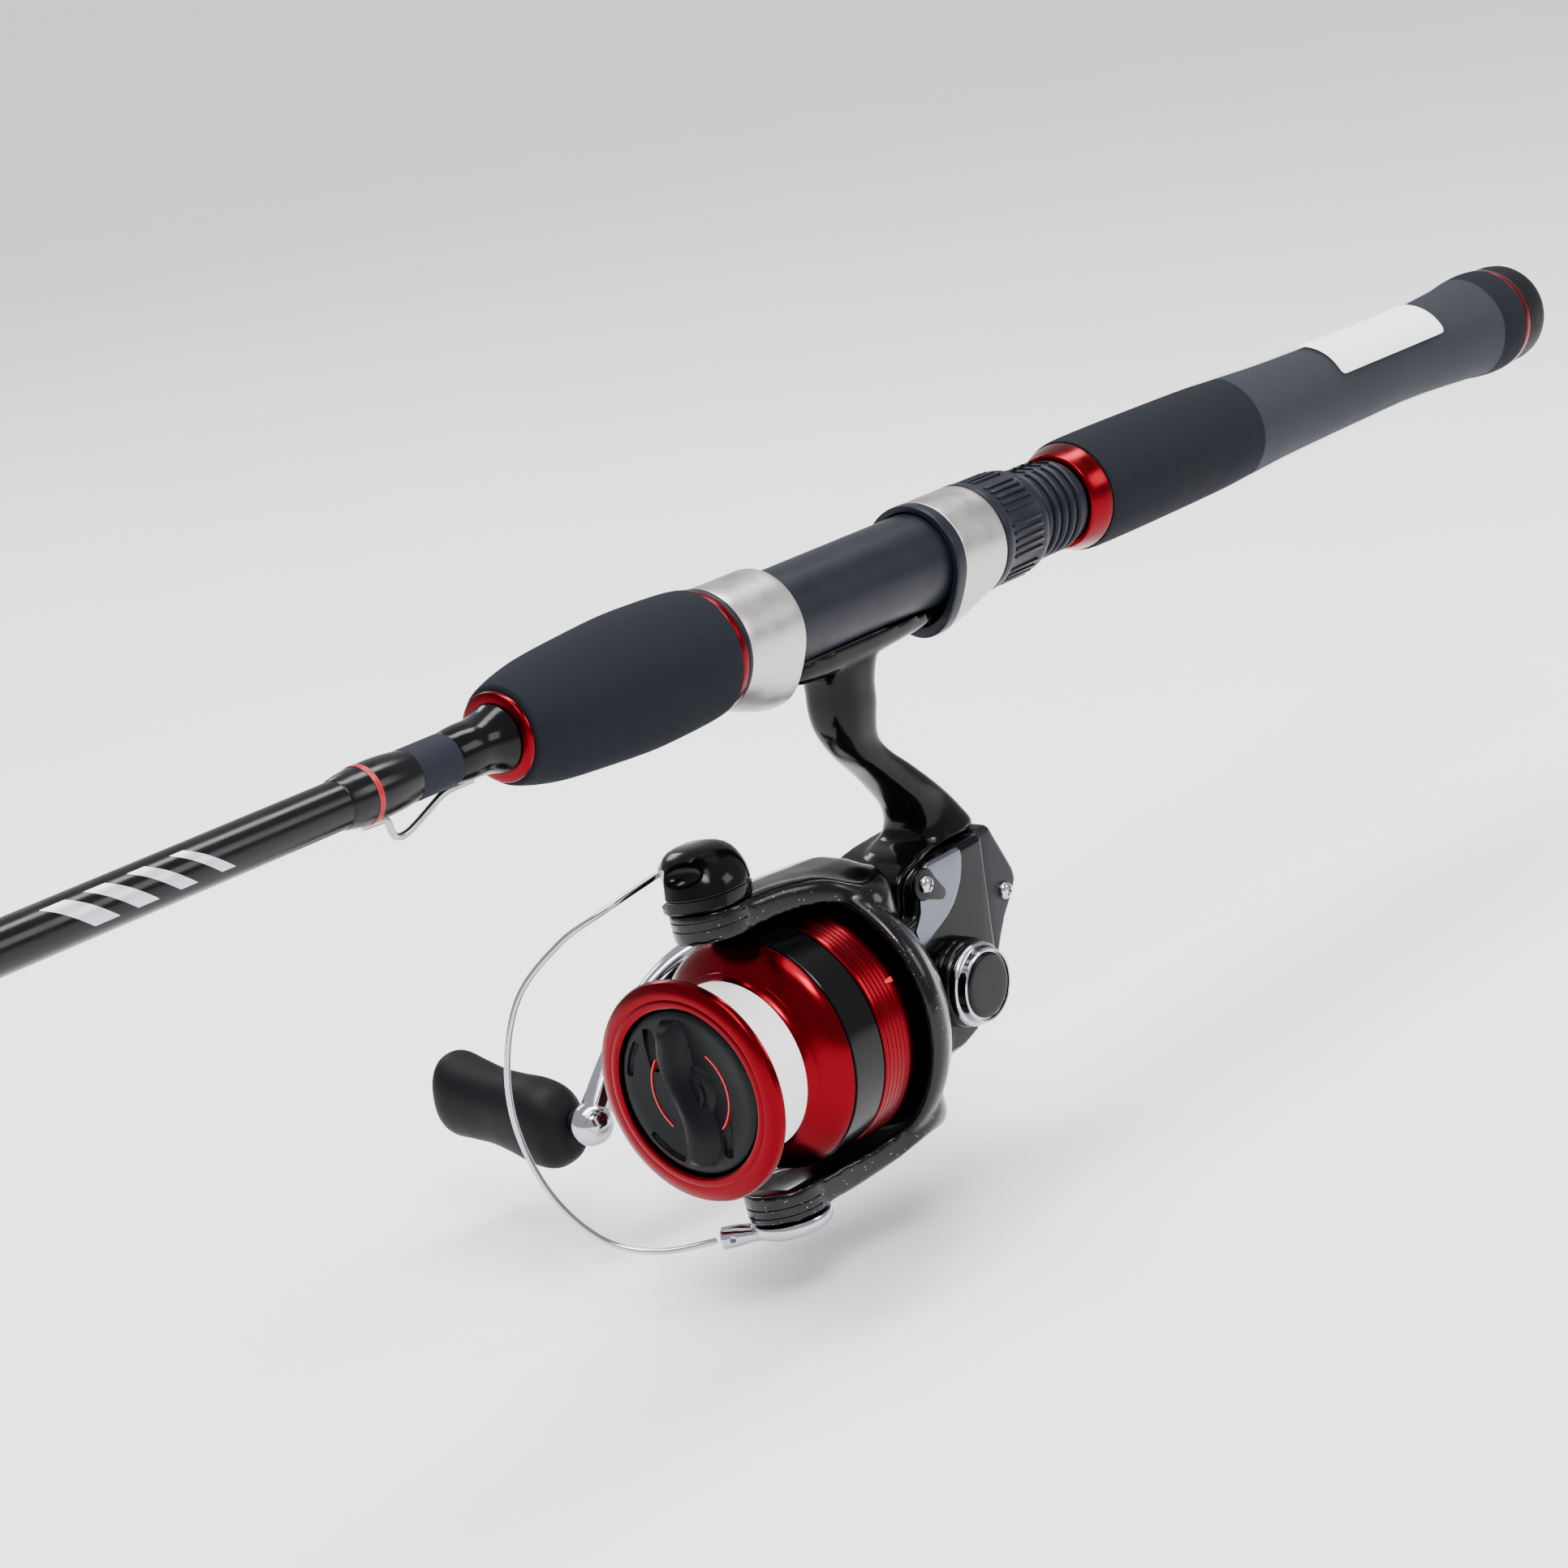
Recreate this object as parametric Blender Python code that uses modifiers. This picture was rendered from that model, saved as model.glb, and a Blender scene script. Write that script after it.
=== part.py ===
"""Light spinning rod with its reel, built as separate pieces.

The rod lies along X: the flat end of the butt is at the origin and the tip points along -X.
The reel hangs below the rod (-Z), with its handle on the +Y side.
Sizes are in millimetres and are turned to metres as each piece is made.
Stations along the rod are counted back from the front edge of the foregrip.
"""
import math

import bmesh
import bpy
from mathutils import Vector

MM = 0.001
TAU = 2.0 * math.pi

# Driving dimensions, in millimetres.
HANDLE_LENGTH = 390.0        # foregrip edge to butt face
TIP_STATION = -1590.0        # front end of the rod
JOINT_STATION = -610.0       # front end of the tip section's socket on the butt section
REEL_DROP = 84.6             # rod axis down to the spool axis
SPOOL_LIP_RADIUS = 23.5
ROTOR_TILT = -8.0            # degrees, the rotor as it rests
BAIL_ANGLE = 55.0            # degrees, the closed bail from straight ahead
PIVOT_STATION = 54.4         # bail pivots along the spool axis
CRANK_STATION = 108.7        # handle axle along the rod
CRANK_DROP = 85.9            # rod axis down to the handle axle
GAP = 0.3                    # running gap between neighbours
BORE = 4.95                  # hole through grips and seat for the blank
SEAT_RADIUS = 10.5
BLANK_WALL = 0.8

# Sides of a turned piece, by its size.
WIDE = 24
FINE = 18
MEDIUM = 12
COARSE = 8

PARTS = "fishing_rod_and_reel"
CUTTERS = "cutters"


def clear_scene():
    for obj in list(bpy.data.objects):
        bpy.data.objects.remove(obj, do_unlink=True)


def new_collection(name):
    collection = bpy.data.collections.new(name)
    bpy.context.scene.collection.children.link(collection)
    return collection


def finish_material(name, colour, roughness, metallic):
    material = bpy.data.materials.new(name)
    material.use_nodes = True
    shader = material.node_tree.nodes["Principled BSDF"]
    shader.inputs["Base Color"].default_value = (*colour, 1.0)
    shader.inputs["Roughness"].default_value = roughness
    shader.inputs["Metallic"].default_value = metallic
    return material


FINISHES = {
    "foam": ((0.030, 0.033, 0.042), 0.85, 0.0),
    "red_metal": ((0.42, 0.020, 0.028), 0.32, 0.9),
    "satin_metal": ((0.46, 0.43, 0.39), 0.38, 0.9),
    "black_gloss": ((0.008, 0.008, 0.011), 0.12, 0.0),
    "black_satin": ((0.016, 0.018, 0.023), 0.40, 0.0),
    "carbon": ((0.010, 0.010, 0.012), 0.18, 0.0),
    "chrome": ((0.72, 0.72, 0.74), 0.08, 1.0),
    "steel": ((0.50, 0.50, 0.52), 0.25, 1.0),
    "zinc": ((0.38, 0.39, 0.41), 0.45, 1.0),
    "brass": ((0.62, 0.42, 0.14), 0.30, 1.0),
    "rubber": ((0.012, 0.012, 0.014), 0.75, 0.0),
    "film": ((0.80, 0.82, 0.85), 0.10, 0.0),
    "paper": ((0.80, 0.80, 0.80), 0.55, 0.0),
    "ceramic": ((0.05, 0.05, 0.06), 0.20, 0.0),
    "felt": ((0.25, 0.20, 0.14), 0.90, 0.0),
}
MATERIALS = {}


def station(along):
    """World x, in metres, of a station counted back from the foregrip's front edge."""
    return (along - HANDLE_LENGTH) * MM


def place(along, across, up):
    return Vector((station(along), across * MM, up * MM))


def add_object(name, data, finish, collection=PARTS):
    obj = bpy.data.objects.new(name, data)
    bpy.data.collections[collection].objects.link(obj)
    if finish:
        obj.data.materials.append(MATERIALS[finish])
    return obj


def smooth(obj, degrees=35.0):
    mesh = obj.data
    mesh.shade_smooth()
    mesh.set_sharp_from_angle(angle=math.radians(degrees))
    return obj


def soften(obj, width, degrees=30.0):
    """Round the edges sharper than the given angle."""
    edge = obj.modifiers.new("edge", 'BEVEL')
    edge.width = width * MM
    edge.segments = 2
    edge.limit_method = 'ANGLE'
    edge.angle_limit = math.radians(degrees)


def empty_at(name, location, rotation=(0.0, 0.0, 0.0), parent=None):
    obj = bpy.data.objects.new(name, None)
    bpy.data.collections[PARTS].objects.link(obj)
    obj.parent = parent
    obj.location = location
    obj.rotation_euler = rotation
    return obj


AXIS_TURNS = {
    "+x": (0.0, math.radians(90.0), 0.0),
    "+y": (math.radians(-90.0), 0.0, 0.0),
    "+z": (0.0, 0.0, 0.0),
}


def spin_round(obj, steps):
    """Turn an outline once round its own Z axis."""
    screw = obj.modifiers.new("turn", 'SCREW')
    screw.angle = TAU
    screw.steps = steps
    screw.render_steps = steps
    screw.use_merge_vertices = True
    screw.merge_threshold = 1e-5
    screw.use_smooth_shade = True
    return obj


def turned(name, profile, finish, origin, axis="+x", steps=FINE, parent=None, bore=None):
    """A turned piece from (place along the axis, radius) pairs in millimetres, in rising order.

    Without a bore the profile starts and ends on the axis. With one, the hole runs right through.
    """
    points = [(radius, along) for along, radius in reversed(profile)]
    closed = bore is not None
    if closed:
        points += [(bore, profile[0][0]), (bore, profile[-1][0])]
    mesh = bpy.data.meshes.new(name)
    coords = [(radius * MM, 0.0, along * MM) for radius, along in points]
    edges = [(i, i + 1) for i in range(len(coords) - 1)]
    if closed:
        edges.append((len(coords) - 1, 0))
    mesh.from_pydata(coords, edges, [])
    obj = add_object(name, mesh, finish)
    obj.parent = parent
    obj.location = origin
    obj.rotation_euler = AXIS_TURNS[axis]
    return spin_round(obj, steps)


def turned_loop(name, loop, finish, parent, steps):
    """A turned piece from a closed loop of (along, radius) pairs, outer side first."""
    mesh = bpy.data.meshes.new(name)
    coords = [(radius * MM, 0.0, along * MM) for along, radius in reversed(loop)]
    edges = [(i, (i + 1) % len(coords)) for i in range(len(coords))]
    mesh.from_pydata(coords, edges, [])
    obj = add_object(name, mesh, finish)
    obj.parent = parent
    obj.rotation_euler = AXIS_TURNS["+x"]
    return spin_round(obj, steps)


def tube(name, points, radius, finish, parent=None, sides=2, smooth_path=0):
    """A round wire through points given in metres, with closed ends."""
    curve = bpy.data.curves.new(name, 'CURVE')
    curve.dimensions = '3D'
    curve.bevel_depth = radius * MM
    curve.bevel_resolution = sides
    curve.use_fill_caps = True
    kind = 'BEZIER' if smooth_path else 'POLY'
    spline = curve.splines.new(kind)
    if smooth_path:
        spline.bezier_points.add(len(points) - 1)
        for knot, point in zip(spline.bezier_points, points):
            knot.co = point
            knot.handle_left_type = 'AUTO'
            knot.handle_right_type = 'AUTO'
        curve.resolution_u = smooth_path
    else:
        spline.points.add(len(points) - 1)
        for knot, point in zip(spline.points, points):
            knot.co = (*point, 1.0)
    obj = add_object(name, curve, finish)
    obj.parent = parent
    return obj


def to_mesh(obj):
    """Replace a curve object, or one with modifiers, by a welded plain mesh."""
    bpy.context.view_layer.update()
    graph = bpy.context.evaluated_depsgraph_get()
    mesh = bpy.data.meshes.new_from_object(obj.evaluated_get(graph))
    work = bmesh.new()
    work.from_mesh(mesh)
    bmesh.ops.remove_doubles(work, verts=work.verts, dist=1e-6)
    work.to_mesh(mesh)
    work.free()
    name = obj.name
    mesh.materials.clear()
    for slot in obj.material_slots:
        mesh.materials.append(slot.material)
    matrix = obj.matrix_local.copy()
    parent = obj.parent
    collection = obj.users_collection[0]
    bpy.data.objects.remove(obj, do_unlink=True)
    plain = bpy.data.objects.new(name, mesh)
    collection.objects.link(plain)
    plain.parent = parent
    plain.matrix_local = matrix
    return plain


def plate(name, outline, low, high, finish, parent=None, origin=(0.0, 0.0, 0.0), axis="y"):
    """A flat outline of (along, up) pairs, given thickness from low to high along the axis."""
    curve = bpy.data.curves.new(name, 'CURVE')
    curve.dimensions = '2D'
    curve.fill_mode = 'BOTH'
    curve.extrude = (high - low) / 2 * MM
    spline = curve.splines.new('POLY')
    spline.points.add(len(outline) - 1)
    for knot, (along, up) in zip(spline.points, outline):
        knot.co = (along * MM, up * MM, 0.0, 1.0)
    spline.use_cyclic_u = True
    obj = add_object(name, curve, finish)
    obj.parent = parent
    middle = (high + low) / 2 * MM
    if axis == "y":
        obj.rotation_euler = (math.radians(90.0), 0.0, 0.0)
        obj.location = Vector(origin) + Vector((0.0, middle, 0.0))
    else:
        obj.location = Vector(origin) + Vector((0.0, 0.0, middle))
    return to_mesh(obj)


def loft(name, rings, finish, parent=None, origin=(0.0, 0.0, 0.0), hollow=False):
    """Skin over rings of equal point counts, with the ends closed or, if hollow, joined in a loop."""
    work = bmesh.new()
    rows = [[work.verts.new(Vector(point)) for point in ring] for ring in rings]
    count = len(rows[0])
    pairs = list(zip(rows, rows[1:]))
    if hollow:
        pairs.append((rows[-1], rows[0]))
    for here, there in pairs:
        for i in range(count):
            j = (i + 1) % count
            work.faces.new((here[i], here[j], there[j], there[i]))
    if not hollow:
        work.faces.new(list(reversed(rows[0])))
        work.faces.new(rows[-1])
    bmesh.ops.recalc_face_normals(work, faces=work.faces)
    mesh = bpy.data.meshes.new(name)
    work.to_mesh(mesh)
    work.free()
    obj = add_object(name, mesh, finish)
    obj.parent = parent
    obj.location = origin
    return smooth(obj, 40.0)


def combine(obj, other, operation):
    """Join another solid to a piece, or cut it away, and keep the other among the cutters."""
    bpy.data.collections[PARTS].objects.unlink(other)
    bpy.data.collections[CUTTERS].objects.link(other)
    other.name = "cut_" + other.name
    other.hide_render = True
    other.display_type = 'WIRE'
    change = obj.modifiers.new(other.name, 'BOOLEAN')
    change.operation = operation
    change.solver = 'EXACT'
    change.object = other
    return obj


def block(name, low, high, finish=None, parent=None):
    """A box between two corners given in metres."""
    low, high = Vector(low), Vector(high)
    work = bmesh.new()
    bmesh.ops.create_cube(work, size=1.0)
    bmesh.ops.scale(work, vec=high - low, verts=work.verts)
    mesh = bpy.data.meshes.new(name)
    work.to_mesh(mesh)
    work.free()
    obj = add_object(name, mesh, finish)
    obj.parent = parent
    obj.location = (low + high) / 2
    return obj


def rod_core(name, start, end, radius, origin, axis="+x", steps=MEDIUM, finish=None, parent=None):
    return turned(name, [(start, 0.0), (start, radius), (end, radius), (end, 0.0)], finish,
                  origin, axis, steps, parent)


ROD_ORIGIN = Vector((-HANDLE_LENGTH * MM, 0.0, 0.0))
REEL_ORIGIN = Vector((-HANDLE_LENGTH * MM, 0.0, -REEL_DROP * MM))


# Rod: handle -------------------------------------------------------------------------------

FOREGRIP = [(0.3, 8.9), (0.8, 9.7), (5, 11.1), (10, 12.1), (15, 12.7), (23, 13.3), (35, 14.0),
            (45, 13.9), (52, 13.6), (55.7, 13.2)]
REAR_GRIP = [(186.6, 12.4), (190, 12.8), (203, 12.9), (222, 12.8), (240, 12.6), (248, 12.3),
             (258, 11.9), (272, 11.4), (292, 11.1), (312, 10.9), (325, 10.8), (335, 11.0),
             (345, 11.4), (354, 11.9), (362, 12.4), (368, 13.1), (373, 13.4), (376.7, 13.3)]
FILM_START, FILM_END, FILM_LIFT, FILM_WALL = 249.0, 365.0, 0.35, 0.25


def grip_radius(along):
    for (a, ra), (b, rb) in zip(REAR_GRIP, REAR_GRIP[1:]):
        if a <= along <= b:
            return ra + (rb - ra) * (along - a) / (b - a)
    return REAR_GRIP[-1][1]


def build_grips():
    turned("foregrip", FOREGRIP, "foam", ROD_ORIGIN, bore=BORE)
    turned("rear_grip", REAR_GRIP, "foam", ROD_ORIGIN, bore=BORE)
    turned("foregrip_ring", [(56.0, 12.4), (56.4, 12.8), (57.7, 12.8), (58.0, 12.4)], "red_metal",
           ROD_ORIGIN, bore=BORE)
    turned("rear_check_cone", [(180.6, 10.3), (181.0, 10.7), (185.8, 12.2), (186.3, 12.0)],
           "red_metal", ROD_ORIGIN, bore=BORE)
    turned("butt_ring", [(377.0, 12.6), (377.3, 13.1), (378.9, 13.1), (379.2, 12.6)], "red_metal",
           ROD_ORIGIN, bore=BORE)
    cap = turned("butt_cap", [(379.5, 0.0), (379.5, 12.3), (380.0, 12.8), (385.5, 12.8), (388.4, 12.2),
                              (389.6, 10.8), (390.0, 9.2), (390.0, 0.0)], "rubber", ROD_ORIGIN)
    combine(cap, rod_core("cap_socket", 370.0, 385.2, BORE, ROD_ORIGIN), 'DIFFERENCE')


def build_film():
    stations = [FILM_START] + [a for a, _ in REAR_GRIP if FILM_START < a < FILM_END] + [FILM_END]
    rings = []
    for lift, order in ((FILM_LIFT + FILM_WALL, stations), (FILM_LIFT, list(reversed(stations)))):
        for along in order:
            radius = grip_radius(along) + lift
            rings.append([place(along, radius * math.cos(turn), radius * math.sin(turn))
                          for turn in (TAU * k / FINE for k in range(FINE))])
    loft("grip_film", rings, "film", hollow=True)


def build_front_checks():
    turned("front_ring", [(-1.3, 8.0), (-0.9, 8.9), (-0.3, 8.9), (0.0, 8.5)], "red_metal", ROD_ORIGIN,
           bore=BORE)
    turned("keeper_winding", [(-42, 5.05), (-40, 5.2), (-36, 5.5), (-33, 5.6), (-29, 5.45),
                              (-26, 5.15), (-25, 5.05), (-15, 5.05), (-13, 5.2), (-10, 5.45),
                              (-7.4, 5.1), (-6.4, 5.2), (-4.8, 5.7), (-2.6, 6.4), (-1.6, 6.6)],
           "black_gloss", ROD_ORIGIN, steps=MEDIUM, bore=4.8)
    under = -6.6
    tube("hook_keeper", [place(-37, 0, under - 0.2), place(-29, 0, under), place(-27, 0, -7.4),
                         place(-26, 0, -11.2), place(-23.5, 0, -12.6), place(-20, 0, -12.2),
                         place(-17, 0, -9.4), place(-14.5, 0, under), place(-8.6, 0, under)],
         0.7, "chrome", sides=1)


# Rod: reel seat ------------------------------------------------------------------------------

HOOD_RADIUS = 12.2
HOOD_BORE = SEAT_RADIUS + GAP
POCKET_OUT = 4.6
POCKET_IN = 3.5
THREAD_START, THREAD_END, THREAD_PITCH = 147.0, 180.3, 3.0


def hood_ring(along, radius, pocket, steps=28):
    """A ring around the rod with a teardrop pocket for the reel foot below."""
    ring = []
    for k in range(steps):
        turn = TAU * k / steps
        below = max(0.0, -math.sin(turn)) ** 4
        reach = radius + pocket * below
        ring.append(place(along, reach * math.cos(turn), reach * math.sin(turn)))
    return ring


def hood(name, outer, inner, finish):
    rings = [hood_ring(*row) for row in outer] + [hood_ring(*row) for row in reversed(inner)]
    return loft(name, rings, finish, hollow=True)


def build_seat():
    profile = [(58.3, 12.0), (58.6, 12.5), (59.4, 12.5), (59.7, 12.0), (59.7, SEAT_RADIUS),
               (THREAD_START, SEAT_RADIUS)]
    along = THREAD_START + THREAD_PITCH
    while along < THREAD_END - 1.0:
        profile += [(along - THREAD_PITCH / 2, 9.6), (along, SEAT_RADIUS)]
        along += THREAD_PITCH
    profile.append((THREAD_END, 9.6))
    turned("reel_seat", profile, "black_satin", ROD_ORIGIN, bore=BORE)
    hood("fixed_hood",
         [(60.0, 11.9, 0.0), (60.5, HOOD_RADIUS, 0.4), (66, HOOD_RADIUS, 2.6), (72, HOOD_RADIUS, 4.2),
          (76.0, HOOD_RADIUS, POCKET_OUT), (76.6, 11.9, POCKET_OUT - 0.3)],
         [(60.0, HOOD_BORE, 0.0), (64.5, HOOD_BORE, 1.2), (66.0, HOOD_BORE, 2.2),
          (76.6, HOOD_BORE, POCKET_IN)],
         "satin_metal")
    slide = empty_at("hood_axis", ROD_ORIGIN)
    collar = hood("hood_collar",
                  [(128.0, 11.9, POCKET_OUT - 0.3), (128.4, HOOD_RADIUS, POCKET_OUT),
                   (130.9, HOOD_RADIUS, POCKET_OUT)],
                  [(128.0, HOOD_BORE, POCKET_IN), (130.9, HOOD_BORE, POCKET_IN)], "black_satin")
    band = hood("movable_hood",
                [(131.2, HOOD_RADIUS, POCKET_OUT), (137, HOOD_RADIUS, 3.4), (142, HOOD_RADIUS, 1.7),
                 (145.4, HOOD_RADIUS, 0.3), (146.0, 11.9, 0.0)],
                [(131.2, HOOD_BORE, POCKET_IN), (140.0, HOOD_BORE, 2.4), (143.5, HOOD_BORE, 1.0),
                 (146.0, HOOD_BORE, 0.0)], "satin_metal")
    for piece in (collar, band):
        piece.parent = slide
        piece.location = -ROD_ORIGIN
    turned("seat_nut", [(146.3, 11.9), (146.8, 12.4), (150, 12.4), (160, 12.0), (162.4, 11.8),
                        (163.0, 11.3)], "black_satin", Vector((0.0, 0.0, 0.0)), parent=slide,
           bore=HOOD_BORE)


# Rod: blank and guides --------------------------------------------------------------------------

def blank_radius(along):
    """Outer radius of the tapered blank, in millimetres."""
    if along > -120.0:
        return 4.6
    if along > JOINT_STATION:
        return 4.6 - 1.3 * (-120.0 - along) / (-120.0 - JOINT_STATION)
    return 4.15 - 3.35 * (JOINT_STATION - along) / (JOINT_STATION - TIP_STATION)


SOCKET_DEPTH = 60.0
GUIDES = [(-430.0, 9.0, 13.0), (-735.0, 6.0, 9.5), (-955.0, 4.5, 7.5), (-1160.0, 3.6, 6.2),
          (-1370.0, 3.0, 5.3)]


def build_blank():
    spigot = blank_radius(JOINT_STATION + 0.01)
    butt = [(JOINT_STATION - SOCKET_DEPTH, 2.7), (JOINT_STATION - SOCKET_DEPTH + 1, 2.9),
            (JOINT_STATION, spigot)]
    butt += [(along, blank_radius(along)) for along in (-450.0, -280.0, -119.0, -40.0, 384.8)]
    turned("butt_blank", butt, "carbon", ROD_ORIGIN, steps=MEDIUM, bore=2.0)
    tip_axis = empty_at("tip_axis", ROD_ORIGIN)
    socket = spigot + GAP
    wall = socket + BLANK_WALL
    bottom = JOINT_STATION - SOCKET_DEPTH - 2.0
    tip = [(TIP_STATION + 3.0, 0.0), (TIP_STATION + 3.0, 0.7)]
    tip += [(along, blank_radius(along)) for along in (-1500.0, -1200.0, -900.0)]
    tip += [(bottom - 6.0, wall - 0.15), (JOINT_STATION - 0.4, wall), (JOINT_STATION - 0.4, socket),
            (JOINT_STATION - SOCKET_DEPTH, socket - 0.1), (bottom, 2.9), (bottom, 0.0)]
    turned("tip_blank", tip, "carbon", Vector((0.0, 0.0, 0.0)), steps=MEDIUM, parent=tip_axis)
    return tip_axis


def guide_path(along, opening, drop, radius):
    """One wire: along the blank, down one side, round under the ring and back up."""
    side = 1.05
    top = -(radius + 0.9)
    centre = -(radius + drop)
    reach = opening + 1.55
    lean = 0.35
    half = [(along + 9.0, side, top), (along + 2.0, side, top)]
    for degrees in (58, 25, -10, -50):
        turn = math.radians(degrees)
        up = centre + reach * math.sin(turn)
        half.append((along - lean * (top - up), reach * math.cos(turn), up))
    lowest = (along - lean * (top - centre + reach), 0.0, centre - reach)
    back = [(a, -b, c) for a, b, c in reversed(half)]
    return half + [lowest] + back


def build_guides(tip_axis):
    tilt = math.atan(0.35)
    for number, (along, opening, drop) in enumerate(GUIDES, start=1):
        radius = blank_radius(along)
        on_tip = along < JOINT_STATION
        parent = tip_axis if on_tip else None
        shift = -ROD_ORIGIN if on_tip else Vector((0.0, 0.0, 0.0))
        frame = tube(f"guide_frame_{number}", [place(*p) for p in guide_path(along, opening, drop, radius)],
                     0.55, "steel", parent=parent, sides=1)
        frame.location = shift
        centre = radius + drop
        ring_at = place(along - 0.35 * (drop - 0.75), 0.0, -centre)
        insert_ring(f"guide_ring_{number}", ring_at + shift, opening, tilt, parent)
    tip_radius = 0.9
    turned("tip_tube", [(TIP_STATION + 2.0, 0.0), (TIP_STATION + 2.0, 1.0),
                                 (TIP_STATION + 2.8, 1.5), (TIP_STATION + 14.0, 1.6),
                                 (TIP_STATION + 14.0, 1.25), (TIP_STATION + 2.7, 1.25),
                                 (TIP_STATION + 2.7, 0.0)], "steel",
                    Vector((0.0, 0.0, 0.0)), steps=COARSE, parent=tip_axis)
    path = [place(a, b, c) for a, b, c in guide_path(TIP_STATION + 5.0, 2.2, 4.6, tip_radius + 0.6)]
    frame = tube("tip_frame", path, 0.5, "steel", parent=tip_axis, sides=1)
    frame.location = -ROD_ORIGIN
    ring_at = place(TIP_STATION + 5.0 - 0.35 * 3.85, 0.0, -(tip_radius + 0.6 + 4.6))
    insert_ring("tip_ring", ring_at - ROD_ORIGIN, 2.2, tilt, tip_axis)


def insert_ring(name, location, opening, tilt, parent):
    bpy.ops.mesh.primitive_torus_add(major_segments=16, minor_segments=5, major_radius=opening * MM,
                                     minor_radius=0.65 * MM)
    ring = bpy.context.active_object
    for collection in list(ring.users_collection):
        collection.objects.unlink(ring)
    bpy.data.collections[PARTS].objects.link(ring)
    ring.name = name
    ring.data.materials.append(MATERIALS["ceramic"])
    ring.parent = parent
    ring.location = location
    ring.rotation_euler = (0.0, math.radians(90.0) - tilt, 0.0)
    return smooth(ring, 60.0)


# Reel: housing, foot and covers ---------------------------------------------------------------

HOUSING_TOP = [(87.0, -70.2), (98.4, -68.4), (99.2, -62.4), (103, -59.6), (112, -58.1),
               (123.6, -57.8)]
HOUSING_LOW = [(123.6, -91.2), (117.5, -96.8), (109, -100.6), (101, -101.4), (98.4, -100.4),
               (87.0, -99.0)]
BODY_LEFT, BODY_RIGHT = -7.6, 12.5
COVER_FACE = -12.6
COVER_SLOPE = 50.0             # degrees, the cover's lower edge
TAIL = [(123.9, -57.8), (129.4, -58.0), (133.5, -65.0), (136.2, -69.8), (136.5, -72.5),
        (134.6, -75.6), (131.3, -79.5), (128.9, -83.7), (127.0, -87.6), (123.9, -90.6)]
STEM = [(-13.6, 99.6, 8.4, 6.6), (-16.4, 99.2, 7.2, 6.6), (-19.5, 98.9, 6.7, 6.5),
        (-23.0, 98.8, 6.6, 6.5), (-27.0, 98.8, 6.0, 6.0), (-31.0, 100.0, 5.3, 5.3),
        (-35.0, 103.2, 5.2, 5.4), (-39.5, 108.4, 5.5, 5.8), (-45.0, 114.1, 5.9, 6.6),
        (-49.3, 118.0, 6.4, 7.0), (-53.0, 120.2, 7.2, 7.8), (-56.0, 121.0, 8.4, 8.8),
        (-57.2, 121.2, 9.0, 9.2), (-57.3, 114.4, 9.0, 7.2), (-58.6, 112.0, 9.2, 7.1),
        (-64.0, 109.0, 8.0, 6.8)]
FOOT = [(67.0, 4.0, 12.0), (72, 4.6, 12.4), (77, 5.0, 12.8), (82, 6.2, 14.2), (90, 7.0, 14.9),
        (98, 7.2, 15.2), (107, 7.2, 14.6), (116, 6.8, 13.9), (124, 6.0, 13.3), (128, 5.0, 12.8),
        (137, 4.2, 12.3), (142.6, 3.2, 11.9)]


def crank_origin():
    return place(CRANK_STATION, 0.0, -CRANK_DROP)


def foot_ring(along, half_width, depth):
    """A saddle section: hollow on top to sit under the seat, rounded below."""
    saddle = SEAT_RADIUS + 2 * GAP
    points = []
    for share in (1.0, 0.5, 0.0, -0.5, -1.0):
        across = half_width * share
        points.append((across, -math.sqrt(saddle ** 2 - across ** 2)))
    points += [(-half_width - 0.2, -(saddle + 0.1)), (-half_width * 0.75, -(depth - 0.5)), (0.0, -depth),
               (half_width * 0.75, -(depth - 0.5)), (half_width + 0.2, -(saddle + 0.1))]
    return [place(along, across, up) for across, up in points]


def squared_ring(up, along, half_chord, half_width, steps=16):
    """A level section between an oval and a box."""
    ring = []
    for k in range(steps):
        turn = TAU * k / steps
        swell = (abs(math.cos(turn)) ** 3 + abs(math.sin(turn)) ** 3) ** (-1.0 / 3.0)
        ring.append(place(along + half_chord * swell * math.cos(turn),
                          half_width * swell * math.sin(turn), up))
    return ring


def crank_cylinder(name, low, high, radius, steps=MEDIUM, finish=None):
    return rod_core(name, low, high, radius, crank_origin(), "+y", steps, finish)


def inset(outline, amount):
    """The same outline pulled in towards its own middle."""
    middle_along = sum(a for a, _ in outline) / len(outline)
    middle_up = sum(u for _, u in outline) / len(outline)
    result = []
    for along, up in outline:
        to_middle = Vector((middle_along - along, middle_up - up))
        move = to_middle.normalized() * amount
        result.append((along + move.x, up + move.y))
    return result


def build_housing():
    outline = HOUSING_TOP + HOUSING_LOW
    body = plate("reel_body", outline, BODY_LEFT, BODY_RIGHT, "black_gloss", origin=ROD_ORIGIN)
    soften(body, 1.2, 50.0)
    combine(body, loft("stem_solid", [squared_ring(*row) for row in STEM], None), 'UNION')
    combine(body, loft("foot_solid", [foot_ring(*row) for row in FOOT], None), 'UNION')
    combine(body, crank_cylinder("handle_boss", BODY_RIGHT - 1.0, 20.0, 8.6, FINE), 'UNION')
    combine(body, plate("housing_hollow", inset(outline, 2.6), BODY_LEFT - 5.0, BODY_RIGHT - 2.0, None,
                        origin=ROD_ORIGIN), 'DIFFERENCE')
    combine(body, crank_cylinder("axle_bore", 2.0, 30.0, 4.2), 'DIFFERENCE')
    combine(body, rod_core("pinion_bore", 80.0, 92.0, 5.4, REEL_ORIGIN), 'DIFFERENCE')
    smooth(body)
    return outline


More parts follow.
